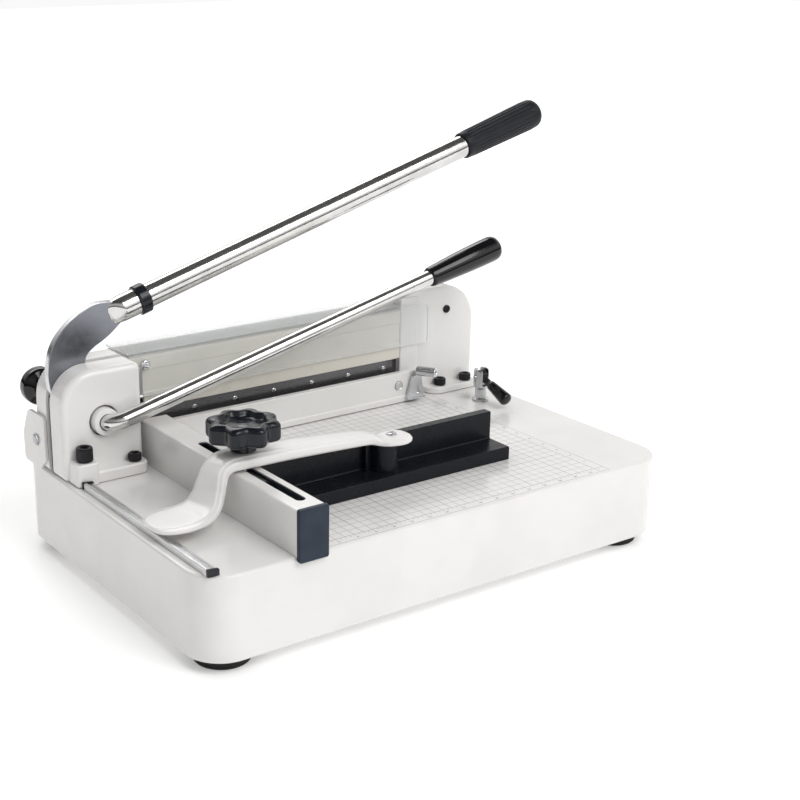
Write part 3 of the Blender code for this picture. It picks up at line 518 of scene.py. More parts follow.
def table_enamel():
    paint = enamel("table_enamel", WHITE)
    x, y, z = paint.from_corner()
    u, v = x - GRID_LEFT, y - GRID_FRONT
    field = inside(x, GRID_LEFT, GRID_RIGHT) * inside(y, GRID_FRONT - 0.2, GRID_BACK)
    squares = stripes(u, 10.0, 0.34).math("MAXIMUM", stripes(v, 10.0, 0.34)) * field * 0.72
    fifties = stripes(u, 50.0, 0.5).math("MAXIMUM", stripes(v, 50.0, 0.5)) * field * 0.25
    across, upright = inside(x, GRID_LEFT, SIDE_BORDER + 0.2), inside(y, FRONT_BORDER, GRID_BACK)
    front = (line(y, FRONT_BORDER, 0.55) + line(y, GRID_FRONT, 0.45)) * across * 0.8
    front_ticks = stripes(u, 5.0, 0.3) * inside(y, GRID_FRONT - TICK, GRID_FRONT) * across * 0.75
    side = (line(x, SIDE_BORDER, 0.55) + line(x, GRID_RIGHT, 0.45)) * upright * 0.8
    side_ticks = stripes(v, 5.0, 0.3) * inside(x, GRID_RIGHT, GRID_RIGHT + TICK) * upright * 0.75
    marks = (squares + fifties).math("MAXIMUM", front + front_ticks).math("MAXIMUM", side + side_ticks)
    ink = (marks * z.more(TABLE - 0.6)).math("MINIMUM", 1.0)
    paint.feed(Base_Color=paint.blend(ink, paint.fed("Base Color"), (0.16, 0.16, 0.17)))
    return paint.material


table_paint = table_enamel()
print("grid:", (GRID_RIGHT - GRID_LEFT) / 10, "by", (GRID_BACK - GRID_FRONT) / 10, "squares")

# %% [markdown]
# The bright parts are chrome plate over steel. Polishing leaves faint streaks along a tube, so its roughness
# comes from a noise that is stretched along the tube. The gooseneck was forged before it was plated, and its
# face keeps a soft hammered waviness that breaks up what it mirrors. Its flat faces, those that look across
# the table, are also painted a much darker tint than its bevels and sides: a painted dark reflection.

# %% Bright metals
def chrome(name, stretch, waves=0.0, tint=(0.70, 0.695, 0.68), rough=0.15, grain=1.2, face=None):
    metal = Finish(name, Metallic=1.0)
    streaks = metal.noise(grain, 4, 0.6, stretch)
    colour = metal.blend(metal.noise(16, 3).ramp(0.35, 0.75), tint, shade(tint, 0.86))
    # Painted dark reflection: faces that look across the table take the darker face tint, bevels and sides keep
    # the bright one.
    if face:
        colour = metal.blend(metal.facing()[1].math("ABSOLUTE").ramp(0.86, 0.99), colour, face)
    low, high, depth = (0.9, 1.2, 0.015) if face else (0.6, 1.7, 0.04)
    metal.feed(Base_Color=colour, Roughness=streaks.ramp(0.25, 0.8, rough * low, rough * high))
    height = streaks * 0.35
    if waves:
        height = height + metal.noise(9, 3, 0.5) * waves
    metal.bump(height, 0.3, depth)
    return metal.material


def brushed(name, tint, stretch, rough=0.34):
    metal = Finish(name, Metallic=1.0)
    streaks = metal.noise(0.5, 5, 0.65, stretch)
    metal.feed(Base_Color=metal.blend(streaks.ramp(0.3, 0.75), tint, shade(tint, 0.74)))
    metal.feed(Roughness=streaks.ramp(0.25, 0.8, rough * 0.75, rough * 1.35))
    metal.bump(streaks, 0.35, 0.03)
    return metal.material


chrome_tube = chrome("chrome_tube", (0.06, 1, 1))
chrome_forged_painted_dark_face = chrome("chrome_forged_painted_dark_face", (1, 1, 1), 0.25, (0.62, 0.63, 0.65), 0.22, 9.0, (0.25, 0.262, 0.29))
chrome_small = chrome("chrome_small", (1, 1, 1), 0.25, (0.66, 0.67, 0.69), 0.13)
ground_steel = brushed("ground_steel", (0.50, 0.51, 0.53), (0.05, 1, 1))
satin_aluminium = brushed("satin_aluminium", (0.76, 0.765, 0.77), (1, 0.04, 1), 0.4)
print("metals: tube, forged, small, ground, aluminium")

# %% [markdown]
# Black appears in five finishes: moulded plastic with a fine grain, polished phenolic on the clamp lever's
# grip, blackened screws and blade bar, rubber feet, and the slate cap on the guide. Real black plastic is
# never pure black, and what tells one from another is how sharp its highlight is.

# %% Blacks and colours
def moulded(name, colour, rough, grain, depth, coat=0.0, shine=0.22):
    plastic = Finish(name, Coat_Weight=coat, Coat_Roughness=0.06, Specular_IOR_Level=shine)
    plastic.feed(Base_Color=plastic.blend(plastic.noise(22, 3).ramp(0.3, 0.8), colour,
                                          shade(colour, 1.3, 0.0008)))
    plastic.feed(Roughness=plastic.noise(18, 3).ramp(0.3, 0.75, rough - 0.03, rough + 0.06))
    plastic.bump(plastic.noise(grain, 3, 0.6), 0.5, depth)
    return plastic.material


satin_black = moulded("satin_black", (0.0055, 0.0068, 0.011), 0.2, 3.0, 0.003, 0.12, 0.3)
pusher_black = moulded("pusher_black", (0.0055, 0.0065, 0.010), 0.27, 2.5, 0.004)
grip_black = moulded("grip_black", (0.009, 0.010, 0.013), 0.42, 0.6, 0.06)
phenolic_black = moulded("phenolic_black", (0.003, 0.003, 0.004), 0.1, 2.5, 0.01, 0.35, 0.3)
slate = moulded("slate_plastic", (0.019, 0.028, 0.043), 0.42, 0.5, 0.03)
oxide_black = moulded("oxide_black", (0.012, 0.012, 0.014), 0.32, 0.9, 0.04)
rubber_black = moulded("rubber_black", (0.013, 0.013, 0.013), 0.66, 0.9, 0.08)
red_strip = moulded("red_strip", (0.55, 0.018, 0.014), 0.42, 1.2, 0.03)
print("plastics and oxides ready")

# %% [markdown]
# The guard is a folded sheet of clear acrylic. Seen square on it is almost invisible, and seen edge-on or at
# a slant it turns milky and mirrors the light. A thin clear shader whose opacity grows with the slant does
# this, and it also lets the studio light through to the parts behind. Faces that look along the sheet, its
# cut edges, are made less clear and show whiter: partly frosting, partly a painted edge highlight.

# %% Clear acrylic
def acrylic():
    clear = Finish("clear_acrylic", Base_Color=(0.86, 0.89, 0.90), IOR=1.49, Specular_IOR_Level=0.9)
    slant = clear.node("ShaderNodeLayerWeight", {}, {"Blend": 0.35}, out=1)
    haze = clear.noise(40, 3).ramp(0.3, 0.8, 0.0, 0.05)
    x, _, z = clear.facing()
    # The cut edges, facing sideways or down, are made whiter: frosting plus a painted edge highlight.
    frosted_edge_highlight = x.math("ABSOLUTE").ramp(0.4, 0.8) + z.ramp(-0.8, -0.4, 1.0, 0.0)
    clear.feed(Alpha=(slant * 0.45 + haze + 0.1 + frosted_edge_highlight * 0.5).math("MINIMUM", 0.85))
    clear.feed(Roughness=clear.noise(18, 3).ramp(0.3, 0.8, 0.04, 0.10))
    return clear.material


clear_acrylic = acrylic()
print("acrylic ready")

# %% [markdown]
# ## The base
# The base is a deep tray turned upside down: a rounded rectangle with a soft upper edge, hollow underneath.
# It is pushed up from its outline, its edges are rounded, and the hollow and the groove for the red cutting
# strip are cut out. Only the top carries the print, and the material looks after that.

# %% Base, feet and cutting strip
base = slab("enamelled_base", rectangle(0, LENGTH, 0, DEPTH, 36, 20), "Z", 0, TABLE, 3.0, 5)
stick_low, stick_high = span("cutting_stick")
hollow = slab("hollow", rectangle(4, LENGTH - 4, 4, DEPTH - 4, 32, 16), "Z", -5, TABLE - 6)
groove = block("groove", (stick_low.x - 0.3, stick_low.y - 0.3, TABLE - 4.3),
               (stick_high.x + 0.3, stick_high.y + 0.3, TABLE + 4))
cut(base, hollow, groove)
fit(base, "base", table_paint, "enamel", "base_shell")
foot_profile = [
    (0, 0), (0, 9), (0.8, 10.5), (0.8, 22.5), (0, 24), (0.2, 24.6), (1.2, 25.6), (3.4, 26.2), (3.8, 25.9),
    (4.4, 25.9), (4.8, 26.6), (9.6, 28.3), (10.8, 28.5)]
for index in range(1, 5):
    low, high = span("foot_%d" % index)
    tall = high.z - low.z
    foot = turned("rubber_foot_%d" % index, foot_profile + [(tall - 0.4, 28.4), (tall, 28.0), (tall, 0)],
                  ((low.x + high.x) / 2, (low.y + high.y) / 2, low.z), UP, 72)
    fit(foot, "base", rubber_black, "rubber", "foot_%d" % index)
strip = block("red_cutting_strip", stick_low, stick_high, 0.3, 2)
fit(strip, "base", red_strip, "red_plastic", "cutting_stick")
print("base faces:", len(base.data.polygons))

# %% [markdown]
# Small figures stand beside the grid's front scale and its right-hand scale. They are ordinary text objects
# turned into thin meshes that lie just above the enamel, one figure for every 2 cm, like those on a ruler.

# %% Scale figures
def figure(text, x, y, turn):
    font = bpy.data.curves.new("figure", "FONT")
    font.body = text
    font.size = 4.2 * MM
    font.align_x = font.align_y = "CENTER"
    font.extrude = 0.01 * MM
    font.resolution_u = 2
    holder = show("figure", font)
    holder.location = spot(x, y, TABLE + 0.03)
    holder.rotation_euler = (0, 0, turn)
    bpy.context.view_layer.update()
    mesh = evaluated(holder)
    mesh.transform(holder.matrix_world)
    bpy.data.objects.remove(holder, do_unlink=True)
    return mesh


work = bmesh.new()
for step in range(1, 17):
    work.from_mesh(figure(str(2 * step), GRID_LEFT + 20 * step, 8.0, 0.0))
for step in range(1, 13):
    work.from_mesh(figure(str(2 * step), 457.0, GRID_FRONT + 20 * step, math.pi / 2))
figures = keep_mesh("scale_figures", work)
fit(figures, "base", moulded("print_ink", (0.06, 0.06, 0.065), 0.4, 1.0, 0.01), "black_plastic")
print("figures:", len(figures.data.polygons), "faces")

# %% [markdown]
# ## The strip on the left edge
# A metal strip with black end caps lies along the left of the table. It is one drawn section from end to end,
# so its outline is pushed along the table.

# %% Rail and its caps
low, high = span("scale_rail")
section = rounded([(low.x, low.z, 0), (high.x, low.z, 0), (high.x, 87.2, 0.8), (15, 87.6, 0), (14.6, 86.8, 0),
                   (11.4, 87.4, 0), (11, 88.5, 0), (low.x, high.z, 1)], 4)
rail = slab("edge_rail", section, "Y", low.y, high.y)
fit(rail, "base", satin_aluminium, "aluminium", "scale_rail")
print("rail:", round(high.y - low.y), "mm")
for name in ("scale_rail_cap_outer", "scale_rail_cap_inner"):
    low, high = span(name)
    section = rounded([(low.x, low.z, 0.6), (high.x, low.z, 0.6), (high.x, high.z - 1.2, 1.2),
                       (low.x, high.z, 1.2)], 4)
    cap = slab(name + "_moulded", section, "Y", low.y, high.y, 0.5, 2)
    fit(cap, "base", satin_black, "black_plastic", name)

# %% [markdown]
# ## The side guide
# The guide is a box beam with a slot in its top for the gauge's stud, and a moulded slate cap closes its outer
# end. Its inside turns to a dark, bluish, partly metallic colour: partly unpainted steel, partly painted shade
# for the dim inside of the box.

# %% Side guide
WALL = 2.5
SLOT_X, SLOT_START, SLOT_END = 107.0, 15, 190
g_low, g_high = span("side_guide")


def guide_finish():
    paint = enamel("guide_enamel_shaded_inside", WHITE)
    x, _, z = paint.from_corner()
    middle, half = (g_low.x + g_high.x) / 2, (g_high.x - g_low.x) / 2
    # Inside walls below the top: a dark bluish metal colour, partly unpainted steel, partly painted shade.
    shaded_bare_inside = (x - middle).math("ABSOLUTE").less(half - WALL + 0.1) * z.less(g_high.z - 0.9)
    colour = paint.blend(shaded_bare_inside, paint.fed("Base Color"), (0.20, 0.23, 0.28))
    paint.feed(Base_Color=colour, Metallic=shaded_bare_inside * 0.7)
    return paint.material


outline = [(g_low.x, g_low.z), (g_low.x + WALL, g_low.z), (g_low.x + WALL, g_high.z - WALL),
           (g_high.x - WALL, g_high.z - WALL), (g_high.x - WALL, g_low.z), (g_high.x, g_low.z)]
outline += arc(g_high.x - 2, g_high.z - 2, 2, 0, 90, 8) + arc(g_low.x + 2, g_high.z - 2, 2, 90, 180, 8)
guide = slab("guide_beam", outline, "Y", g_low.y, g_high.y)
slot = rectangle(SLOT_X - 5, SLOT_X + 5, SLOT_START, SLOT_END, 4.9, 12)
cut(guide, slab("slot_cut", slot, "Z", g_high.z - 6, g_high.z + 4))
fit(guide, "base", guide_finish(), "enamel", "side_guide")
low, high = span("side_guide_cap")
cap = slab("guide_cap_moulded", rectangle(low.x, high.x, low.z, high.z, 2.2, 8), "Y", low.y, high.y, 0.9, 3)
fit(cap, "base", slate, "slate_plastic", "side_guide_cap")
print("guide slot:", SLOT_END - SLOT_START, "mm long")

# %% [markdown]
# ## The back gauge
# The arm is one casting. From the hand tab it climbs in an S over the guide, is thickest under the knob, and
# runs out to a round tip that is screwed to the pusher. A loft suits it: oval-cornered sections are set along
# the spine, each with its own centre, width, thickness and tilt, and skinned together.

# %% Gauge arm
def smooth_row(rows, count):
    """Catmull-Rom through rows of numbers."""
    out = []
    for i in range(len(rows) - 1):
        p0, p1, p2, p3 = rows[max(i - 1, 0)], rows[i], rows[i + 1], rows[min(i + 2, len(rows) - 1)]
        for k in range(count):
            t = k / count
            out.append([0.5 * (2 * b + (c - a) * t + (2 * a - 5 * b + 4 * c - d) * t * t
                               + (3 * b - a - 3 * c + d) * t ** 3) for a, b, c, d in zip(p0, p1, p2, p3)])
    return out + [list(rows[-1])]


def lofted(name, rows, count, corner, around=96):
    """Sections across a spine that lies over the x axis: rows are (x, y, z, half width, half thickness).
    The middle of the upper side stands a little higher than its rim."""
    spine = smooth_row(rows, count)
    work = bmesh.new()
    rings = []
    for i, (x, y, z, wide, thick) in enumerate(spine):
        before, after = spine[max(i - 1, 0)], spine[min(i + 1, len(spine) - 1)]
        along = Vector((after[0] - before[0], after[1] - before[1], after[2] - before[2])).normalized()
        across = Vector(UP).cross(along)
        across = Vector((across.x, across.y, 0)).normalized()
        up = along.cross(across)
        ring = []
        for k in range(around):
            t = 2 * math.pi * k / around
            c, s = math.cos(t), math.sin(t)
            side = math.copysign(abs(c) ** corner, c)
            raised = ease(0.82 - abs(side), 0, 0.1) if s > 0 else 1
            u = side * wide
            v = math.copysign(abs(s) ** corner, s) * thick * (0.8 + 0.2 * raised)
            ring.append(work.verts.new(spot(*(Vector((x, y, z)) + across * u + up * v))))
        rings.append(ring)
    for a, b in zip(rings, rings[1:]):
        for k in range(around):
            n = (k + 1) % around
            work.faces.new((a[k], a[n], b[n], b[k]))
    work.faces.new(rings[0])
    work.faces.new(rings[-1])
    return keep_mesh(name, work)


arm_rows = [
    (3.2, 101, 95.2, 3, 1.2), (4.2, 101, 95.2, 12, 2.4), (7.5, 101, 95.2, 19, 2.9),
    (14, 101, 95.3, 24.5, 3.1), (25, 101, 95.4, 27.5, 3.2), (38, 101.5, 95.6, 27, 3.4),
    (50, 103, 96.4, 24, 4.0), (60, 105.5, 100, 20, 4.9), (67, 108, 108.5, 17, 5.6),
    (72, 109.8, 119, 16, 6.1), (77.5, 111, 129.5, 16, 6.5), (86, 111.8, 134.4, 17.2, 6.7),
    (96, 112, 135, 17.8, 6.8), (107, 111.5, 135, 17.8, 6.9), (122, 110.5, 134.8, 16.6, 6.9),
    (150, 108, 134.4, 14.6, 6.7), (190, 103.5, 133.8, 12.8, 6.3), (222, 99, 133.2, 11.0, 5.8),
    (236, 97, 131.8, 9.8, 5.0), (244, 95.5, 128.8, 11.4, 3.8), (251, 94.6, 127.8, 15.6, 3.2),
    (261, 94.2, 127.7, 18.2, 3.1), (270, 94.2, 127.7, 16.6, 3.1), (276, 94.2, 127.7, 12.5, 2.8),
    (279.3, 94.2, 127.7, 6.5, 2.0), (280.3, 94.2, 127.7, 2.5, 1.0),
]
arm = lofted("gauge_arm_casting", arm_rows, 6, 0.55)
cut(arm, bar("stud_hole", 4.5, (SLOT_X, 112, 120), UP, 30))
fit(arm, "back_gauge", white_enamel, "enamel", "gauge_arm", crease=60)
screw = turned("arm_tip_screw", [(0, 0), (0, 4.9), (0.5, 5.0), (1.1, 4.7), (1.7, 3.4), (1.8, 0)],
               (262, 96, 130.9), UP, 36)
cut(screw, block("slot", (256, 95.3, 131.8), (268, 96.7, 134)))
fit(screw, "back_gauge", chrome_small, "chrome", "arm_screw")
print("arm faces:", len(arm.data.polygons))

# %% [markdown]
# The pusher is a black moulded angle that squares the stack. Under the arm's tip it has a half-round rib with
# a flat shoulder on one side, and both are joined to the angle before it gets its finish.

# %% Pusher
p_low, p_high = span("gauge_pusher")
section = rounded([(p_low.y, p_low.z, 0), (p_high.y, p_low.z, 0), (p_high.y, p_high.z, 1.2),
                   (110, p_high.z, 1.2), (110, 96.5, 2.5), (109, 95.5, 0), (p_low.y, 95.5, 1.6)], 6)
angle_bar = slab("pusher_angle", section, "X", p_low.x, p_high.x, 0.9, 3)
half_round = arc(257.5, 101.5, 13.5, 180, 360, 28) + [(271, 116), (244, 116)]
rib = slab("rib", half_round, "Z", 88, p_high.z - 0.2, 0.8, 3)
shoulder = slab("shoulder", rectangle(238, 250, 104, 116, 1, 3), "Z", 88, p_high.z - 0.4, 0.6, 2)
join(angle_bar, rib, shoulder)
fit(angle_bar, "back_gauge", pusher_black, "black_plastic", "gauge_pusher")
print("pusher:", round(p_high.x - p_low.x), "mm long")

# %% [markdown]
# The clamping knob has eight soft lobes and a dished top: rings of a turned profile are pulled in and out with
# the cosine of eight times the angle.

# %% Star knob
def lobes(angle, radius, along):
    weight = fade(radius, 16, 30) if along > 9 else 0
    return radius + weight * 2.9 * math.cos(8 * angle)


profile = [
    (0, 0), (0, 11.4), (0.6, 12), (8, 12), (9.2, 12.6), (9.8, 14.5), (10.2, 25), (10.6, 28.2), (11.4, 30.2),
    (12.8, 31.4), (14.6, 31.8), (24, 31.8), (26.4, 31.2), (28.2, 29.6), (29.3, 27.2), (29.6, 24.6),
    (29.2, 22.6), (28, 21.4), (25.4, 20.6), (23.9, 19), (23.6, 16), (23.6, 7), (24.2, 5.5), (24.4, 0)]
star = turned("star_knob_moulded", profile, (SLOT_X, 112, 142.4), UP, 192, lobes)
fit(star, "gauge_knob", satin_black, "black_plastic", "star_knob", crease=50)
print("knob faces:", len(star.data.polygons))

# %% [markdown]
# ## The pivot casing
# Two castings face each other with a slot between them for the lever. The near one has a wide soft front
# edge, a round opening for the clamp lever's hub, and two bosses for the screws that hold it to the table.
# Both are hollow, and the far one opens towards the blade bar.

# %% Casing halves
SEAT = 82.3
SLOT_NEAR, SLOT_FAR = 291.5, 300.5
PIVOT = Vector((44.0, 0.0, 138.0))
LOCK_AXIS = (13, 158)


def casing_outline(margin=0.0):
    left, right, low, high = margin, 85 - margin, SEAT + margin, 190 - margin
    return rounded([(left, low, 0), (right, low, 0), (right, high, 7 - margin), (left, high, 35 - margin)], 16)


near = slab("casing_front_casting", casing_outline(), "Y", 264, SLOT_NEAR + 12, 6.5, 7)
low_foot = rounded([(26, 247.5, 0), (83, 247.5, 9), (83, 275, 0), (26, 275, 0)], 10)
tall_foot = rounded([(4.4, 244.6, 4), (29, 244.6, 7), (29, 275, 0), (4.4, 275, 0)], 8)
join(near, slab("low_boss", low_foot, "Z", SEAT, 94, 2.0, 4),
     slab("tall_boss", tall_foot, "Z", SEAT, 105, 2.0, 4))
hub_seat = turned("hub_seat", [(-1, 0), (-1, 22), (0, 20.6), (0.9, 16.6), (2.2, 15.3), (30, 15.2), (30, 0)],
                  (PIVOT.x, 263.9, PIVOT.z), ACROSS, 64)
cut(near, slab("near_hollow", casing_outline(3), "Y", 267, 320),
    block("near_side", (-20, SLOT_NEAR, 60), (120, 330, 210)), hub_seat,
    block("tongue_notch", (70, 281, 82.5), (100, 330, 160)))
fit(near, "base", white_enamel, "enamel", "casing_near", crease=40)

far = slab("casing_back_casting", casing_outline(), "Y", SLOT_FAR - 12, 328, 6.5, 7)
cut(far, slab("far_hollow", casing_outline(3), "Y", 270, 325),
    block("far_side", (-20, 270, 60), (120, SLOT_FAR, 210)),
    block("carrier_window", (70, 280, 97), (100, 316, 184)), drill(5.3, *LOCK_AXIS, 310, 40, 32))
fit(far, "base", white_enamel, "enamel", "casing_far", crease=40)
print("casing slot:", SLOT_FAR - SLOT_NEAR, "mm")

# %% [markdown]
# The socket cap screws are turned, with a hexagon pushed into the head and fine knurling round it: the rings
# of the head's side are pulled in and out by a fast cosine. The ear on the casing's left side is a flat plate
# with a hexagon bolt and its washer.

# %% Screws, bracket and lock knob
def cap_screw(name, node, x, y, seat, radius, tall):
    def knurl(angle, ring, along):
        return ring + (0.13 * math.cos(36 * angle) if 1.0 < along < tall - 1.2 and ring > radius * 0.9 else 0)

    side = [(0.2, radius - 0.5), (0.9, radius)] + [(1.1 + (tall - 2.4) * k / 4, radius) for k in range(5)]
    profile = [(0, 0)] + side + [(tall - 0.5, radius - 0.25), (tall, radius - 0.9), (tall, 0)]
    head = turned(name, profile, (x, y, seat), UP, 144, knurl)
    socket = bar("socket", radius * 0.56, (x, y, seat + tall * 0.42), UP, tall, 6)
    chamfer = [(0, 0), (0, radius * 0.5), (1.2, radius * 0.66), (2.4, radius * 0.66), (2.4, 0)]
    cut(head, socket, turned("chamfer", chamfer, (x, y, seat + tall - 1.0), UP, 48))
    return fit(head, "base", oxide_black, "black_steel", node, crease=28)


cap_screw("main_screw", "casing_bolt_main", 17, 255.2, 105.3, 8.0, 14)
cap_screw("low_screw", "casing_bolt_low", 71, 257, 94.3, 6.5, 8)
cap_screw("post_screw_left", "post_bolt_left", 479, 291.5, 90.3, 6.5, 8)
cap_screw("post_screw_right", "post_bolt_right", 515, 290.5, 90.3, 6.5, 8)

plate = rounded([(301, 95, 5), (316, 82.6, 5), (352, 82.6, 6), (352, 112, 8), (338, 139, 10), (301, 139, 5)], 8)
ear = slab("ear_bracket", plate, "X", -3.5, -0.3, 0.6, 2)
fit(ear, "base", white_enamel, "enamel", "side_bracket")
hexagon = turned("ear_bolt", [(0, 0), (0, 4.4), (0.5, 5.5), (2.3, 5.9), (2.3, 0)], (-5.9, 320, 112),
                 RIGHT, 6)
fit(hexagon, "base", ground_steel, "steel", "side_bracket_bolt", crease=20)
washer = turned("ear_washer", [(0, 3.2), (0, 6.6), (0.1, 6.8), (0.2, 6.8), (0.2, 3.2)], (-3.75, 320, 112),
                RIGHT, 48)
fit(washer, "base", ground_steel, "steel")

profile = [(0, 0), (0, 3.5), (1, 5), (30.5, 5), (30.5, 11), (31.5, 11.6), (33, 12.6), (36, 17), (37.6, 18.5),
           (39.6, 19), (46.6, 19), (48.6, 18.4), (50.2, 16.8), (51.4, 13), (52.1, 7), (52.3, 0)]
mushroom = turned("lock_knob_turned", profile, (LOCK_AXIS[0], 300.3, LOCK_AXIS[1]), ACROSS, 96)
fit(mushroom, "lock_knob", phenolic_black, "gloss_black", "safety_knob")
print("fasteners done")

# %% [markdown]
# ## The post, the channel and the guard
# The post is a hollow casting with a rounded shoulder, a slightly raised pillar on its left and a foot flange
# with two screws. The stud that carries the swing link is cast with it.

# %% Post
GUARD_SCREW, POST_SCREW = (104, 177), (491, 176)
front = rounded([(424, SEAT, 0), (531, SEAT, 0), (531, 203, 44), (424, 203, 5)], 20)
post = slab("post_casting", front, "Y", 299, 330, 4.0, 5)
pillar = slab("pillar", rectangle(424.6, 449, 296.6, 312, 1.8, 6), "Z", 82.6, 197, 1.2, 3)
foot = rounded([(461, 282, 15), (530, 282, 9), (526, 312, 0), (461, 312, 0)], 12)
join(post, pillar, slab("flange", foot, "Z", 82.4, 90, 1.6, 4))
cut(post, block("cavity", (400, 303, 97), (505, 322, 186)), drill(2.8, *POST_SCREW, length=34))
join(post, bar("link_stud", 6, (438, 312, 138), ACROSS, 14))
fit(post, "base", white_enamel, "enamel", "right_post", crease=40)
print("post faces:", len(post.data.polygons))

# %% [markdown]
# The cream channel over the blade is bent sheet, so its outline has the bends' radii, and a shallow step is
# pressed into its front.

# %% Channel
outline = rounded([
    (295.5, 130, 0.4), (298, 130, 0), (298, 183.4, 1), (337, 183.4, 1), (337, 130, 0), (340, 130, 0),
    (340, 186, 3.2), (295.5, 186, 3.2), (295.5, 171, 0.4), (296.3, 169.6, 0.4), (296.3, 148, 0.4),
    (295.5, 146.6, 0.4)], 6)
b_low, b_high = span("top_beam")
channel = slab("cream_channel", outline, "X", b_low.x, b_high.x)
cut(channel, block("crank_notch", (80, 290, 120), (103, 299, 171.5)), drill(2.1, *GUARD_SCREW))
fit(channel, "base", cream_enamel, "cream", "top_beam")
print("channel:", round(b_high.x - b_low.x), "mm long")

# %% [markdown]
# The guard is one clear sheet: an upright pane that laps over the post, a tight fold and a flat top. Two
# slotted screws hold it and close the post.

# %% Guard and slotted screws
r_low, r_high = span("rear_guard")
thick = 2.5
fold = [(r_low.y, r_low.z + 0.4), (r_low.y + 0.4, r_low.z), (r_low.y + thick, r_low.z),
        (r_low.y + thick, 185.6)]
fold += arc(r_low.y + thick + 1.4, 185.6, 1.4, 180, 90, 6)
fold += [(r_high.y, r_high.z - thick), (r_high.y, r_high.z), (r_low.y + 3.9, r_high.z)]
fold += arc(r_low.y + 3.9, r_high.z - 3.9, 3.9, 90, 180, 8)
sheet = slab("clear_guard", fold, "X", r_low.x, 423)
pane = rounded([(415, r_low.z, 0), (r_high.x, r_low.z, 3), (r_high.x, r_high.z - 0.5, 9),
                (415, r_high.z - 0.5, 0)], 10)
join(sheet, slab("pane", pane, "Y", r_low.y, r_low.y + thick, 0.35, 2))
cut(sheet, drill(2.1, *GUARD_SCREW))
fit(sheet, "base", clear_acrylic, "acrylic", "rear_guard", crease=30)


def slotted(name, node, x, y, z, radius, tall, material, slot_name, tilt):
    profile = [(0, 0), (0, radius), (tall * 0.45, radius), (tall * 0.75, radius * 0.9), (tall, radius * 0.66),
               (tall, 0)]
    head = turned(name, profile, (x, y, z), (0, -1, 0), 48)
    section = rectangle(-radius * 1.3, radius * 1.3, -0.65, 0.65)
    groove = slab("groove", section, "Y", y - tall - 1, y - tall * 0.5)
    for vertex in groove.data.vertices:
        local = (vertex.co - base_low) / MM
        turn_x = local.x * math.cos(tilt) - local.z * math.sin(tilt)
        turn_z = local.x * math.sin(tilt) + local.z * math.cos(tilt)
        vertex.co = spot(x + turn_x, local.y, z + turn_z)
    cut(head, groove)
    return fit(head, "base", material, slot_name, node)


x, z = GUARD_SCREW
slotted("guard_screw_head", "guard_screw", x, 291.7, z, 5.2, 2.4, chrome_small, "chrome", math.radians(-35))
x, z = POST_SCREW
slotted("post_slotted_head", "post_screw", x, 298.7, z, 4.5, 2.6, oxide_black, "black_steel", math.radians(55))
print("guard:", round(r_high.x - r_low.x), "mm wide")

# %% [markdown]
# ## The blade lever
# The gooseneck is a thick plate cut to a curved outline: a hub on the shaft, a short crank down to the blade
# and a broad neck that sweeps up and over to the tube. The curve's points are few, and a spline through them
# keeps the sweep fair.

# %% Gooseneck
CRANK_ANGLE, CRANK, HUB, EYE = -30.0, 44, 28, 12
turn = math.radians(CRANK_ANGLE)
crank = (PIVOT.x + CRANK * math.cos(turn), PIVOT.z + CRANK * math.sin(turn))
slope = math.radians(16.1)
tube_way = Vector((math.cos(slope), 0, math.sin(slope)))


def tube_point(along):
    return Vector((74.0, 296.0, 234.4)) + tube_way * along


def on_tube(along, across):
    """x and z of a point beside the tube's centre line."""
    place = tube_point(along)
    return (place.x - across * math.sin(slope), place.z + across * math.cos(slope))


spread = math.degrees(math.acos((HUB - EYE) / CRANK))
inner = smooth_row([(52, 165), (42.5, 176), (39.3, 186), (42, 196.5), (50, 203.5), (60, 209), (69, 215),
                    on_tube(3, -11.4)], 4)
outer = smooth_row([on_tube(1.5, 11.4), (63, 246.6), (54, 246.4), (44, 243.2), (34, 237.8), (24.5, 231.2),
                    (15, 222.4), (8, 213), (3.2, 202), (0.8, 190), (0.4, 178), (3.5, 162), (12, 150)], 4)
outline = arc(*crank, EYE, CRANK_ANGLE - spread, CRANK_ANGLE + spread, 16)
outline += arc(PIVOT.x, PIVOT.z, HUB, CRANK_ANGLE + spread, 66, 6)[:-1]
outline += [tuple(p) for p in inner] + [on_tube(15.5, -11.2), on_tube(15.5, 11.2)] + [tuple(p) for p in outer]
outline += arc(PIVOT.x, PIVOT.z, HUB, 176, 360 + CRANK_ANGLE - spread, 14)
neck = slab("gooseneck", outline, "Y", 292, 300, 0.9, 3)
relief = [(PIVOT.x + a * math.cos(turn) - b * math.sin(turn), PIVOT.z + a * math.sin(turn) + b * math.cos(turn))
          for a, b in ((35, -24), (64, -24), (64, 24), (35, 24))]
cut(neck, slab("relief", relief, "Y", 280, 295.2), drill(8.1, PIVOT.x, PIVOT.z, sides=64))
fit(neck, "blade_lever", chrome_forged_painted_dark_face, "chrome", "lever_plate", crease=30)
print("crank:", CRANK, "mm at", CRANK_ANGLE, "degrees")

# %% [markdown]
# The ferrule, the ring, the tube and the grip are turned along the tube's own slope. The ferrule is drawn down
# to the plate's thickness where it is welded on, and the grip has fine ribs that stop short of its ends.

# %% Ferrule, ring and tube
def flattened(angle, radius, along):
    grow = ease(along, -9, 8)
    half, power = 3.9 + (radius - 3.9) * grow, 3.2 - 1.2 * grow
    return (abs(math.cos(angle) / half) ** power + abs(math.sin(angle) / radius) ** power) ** (-1 / power)


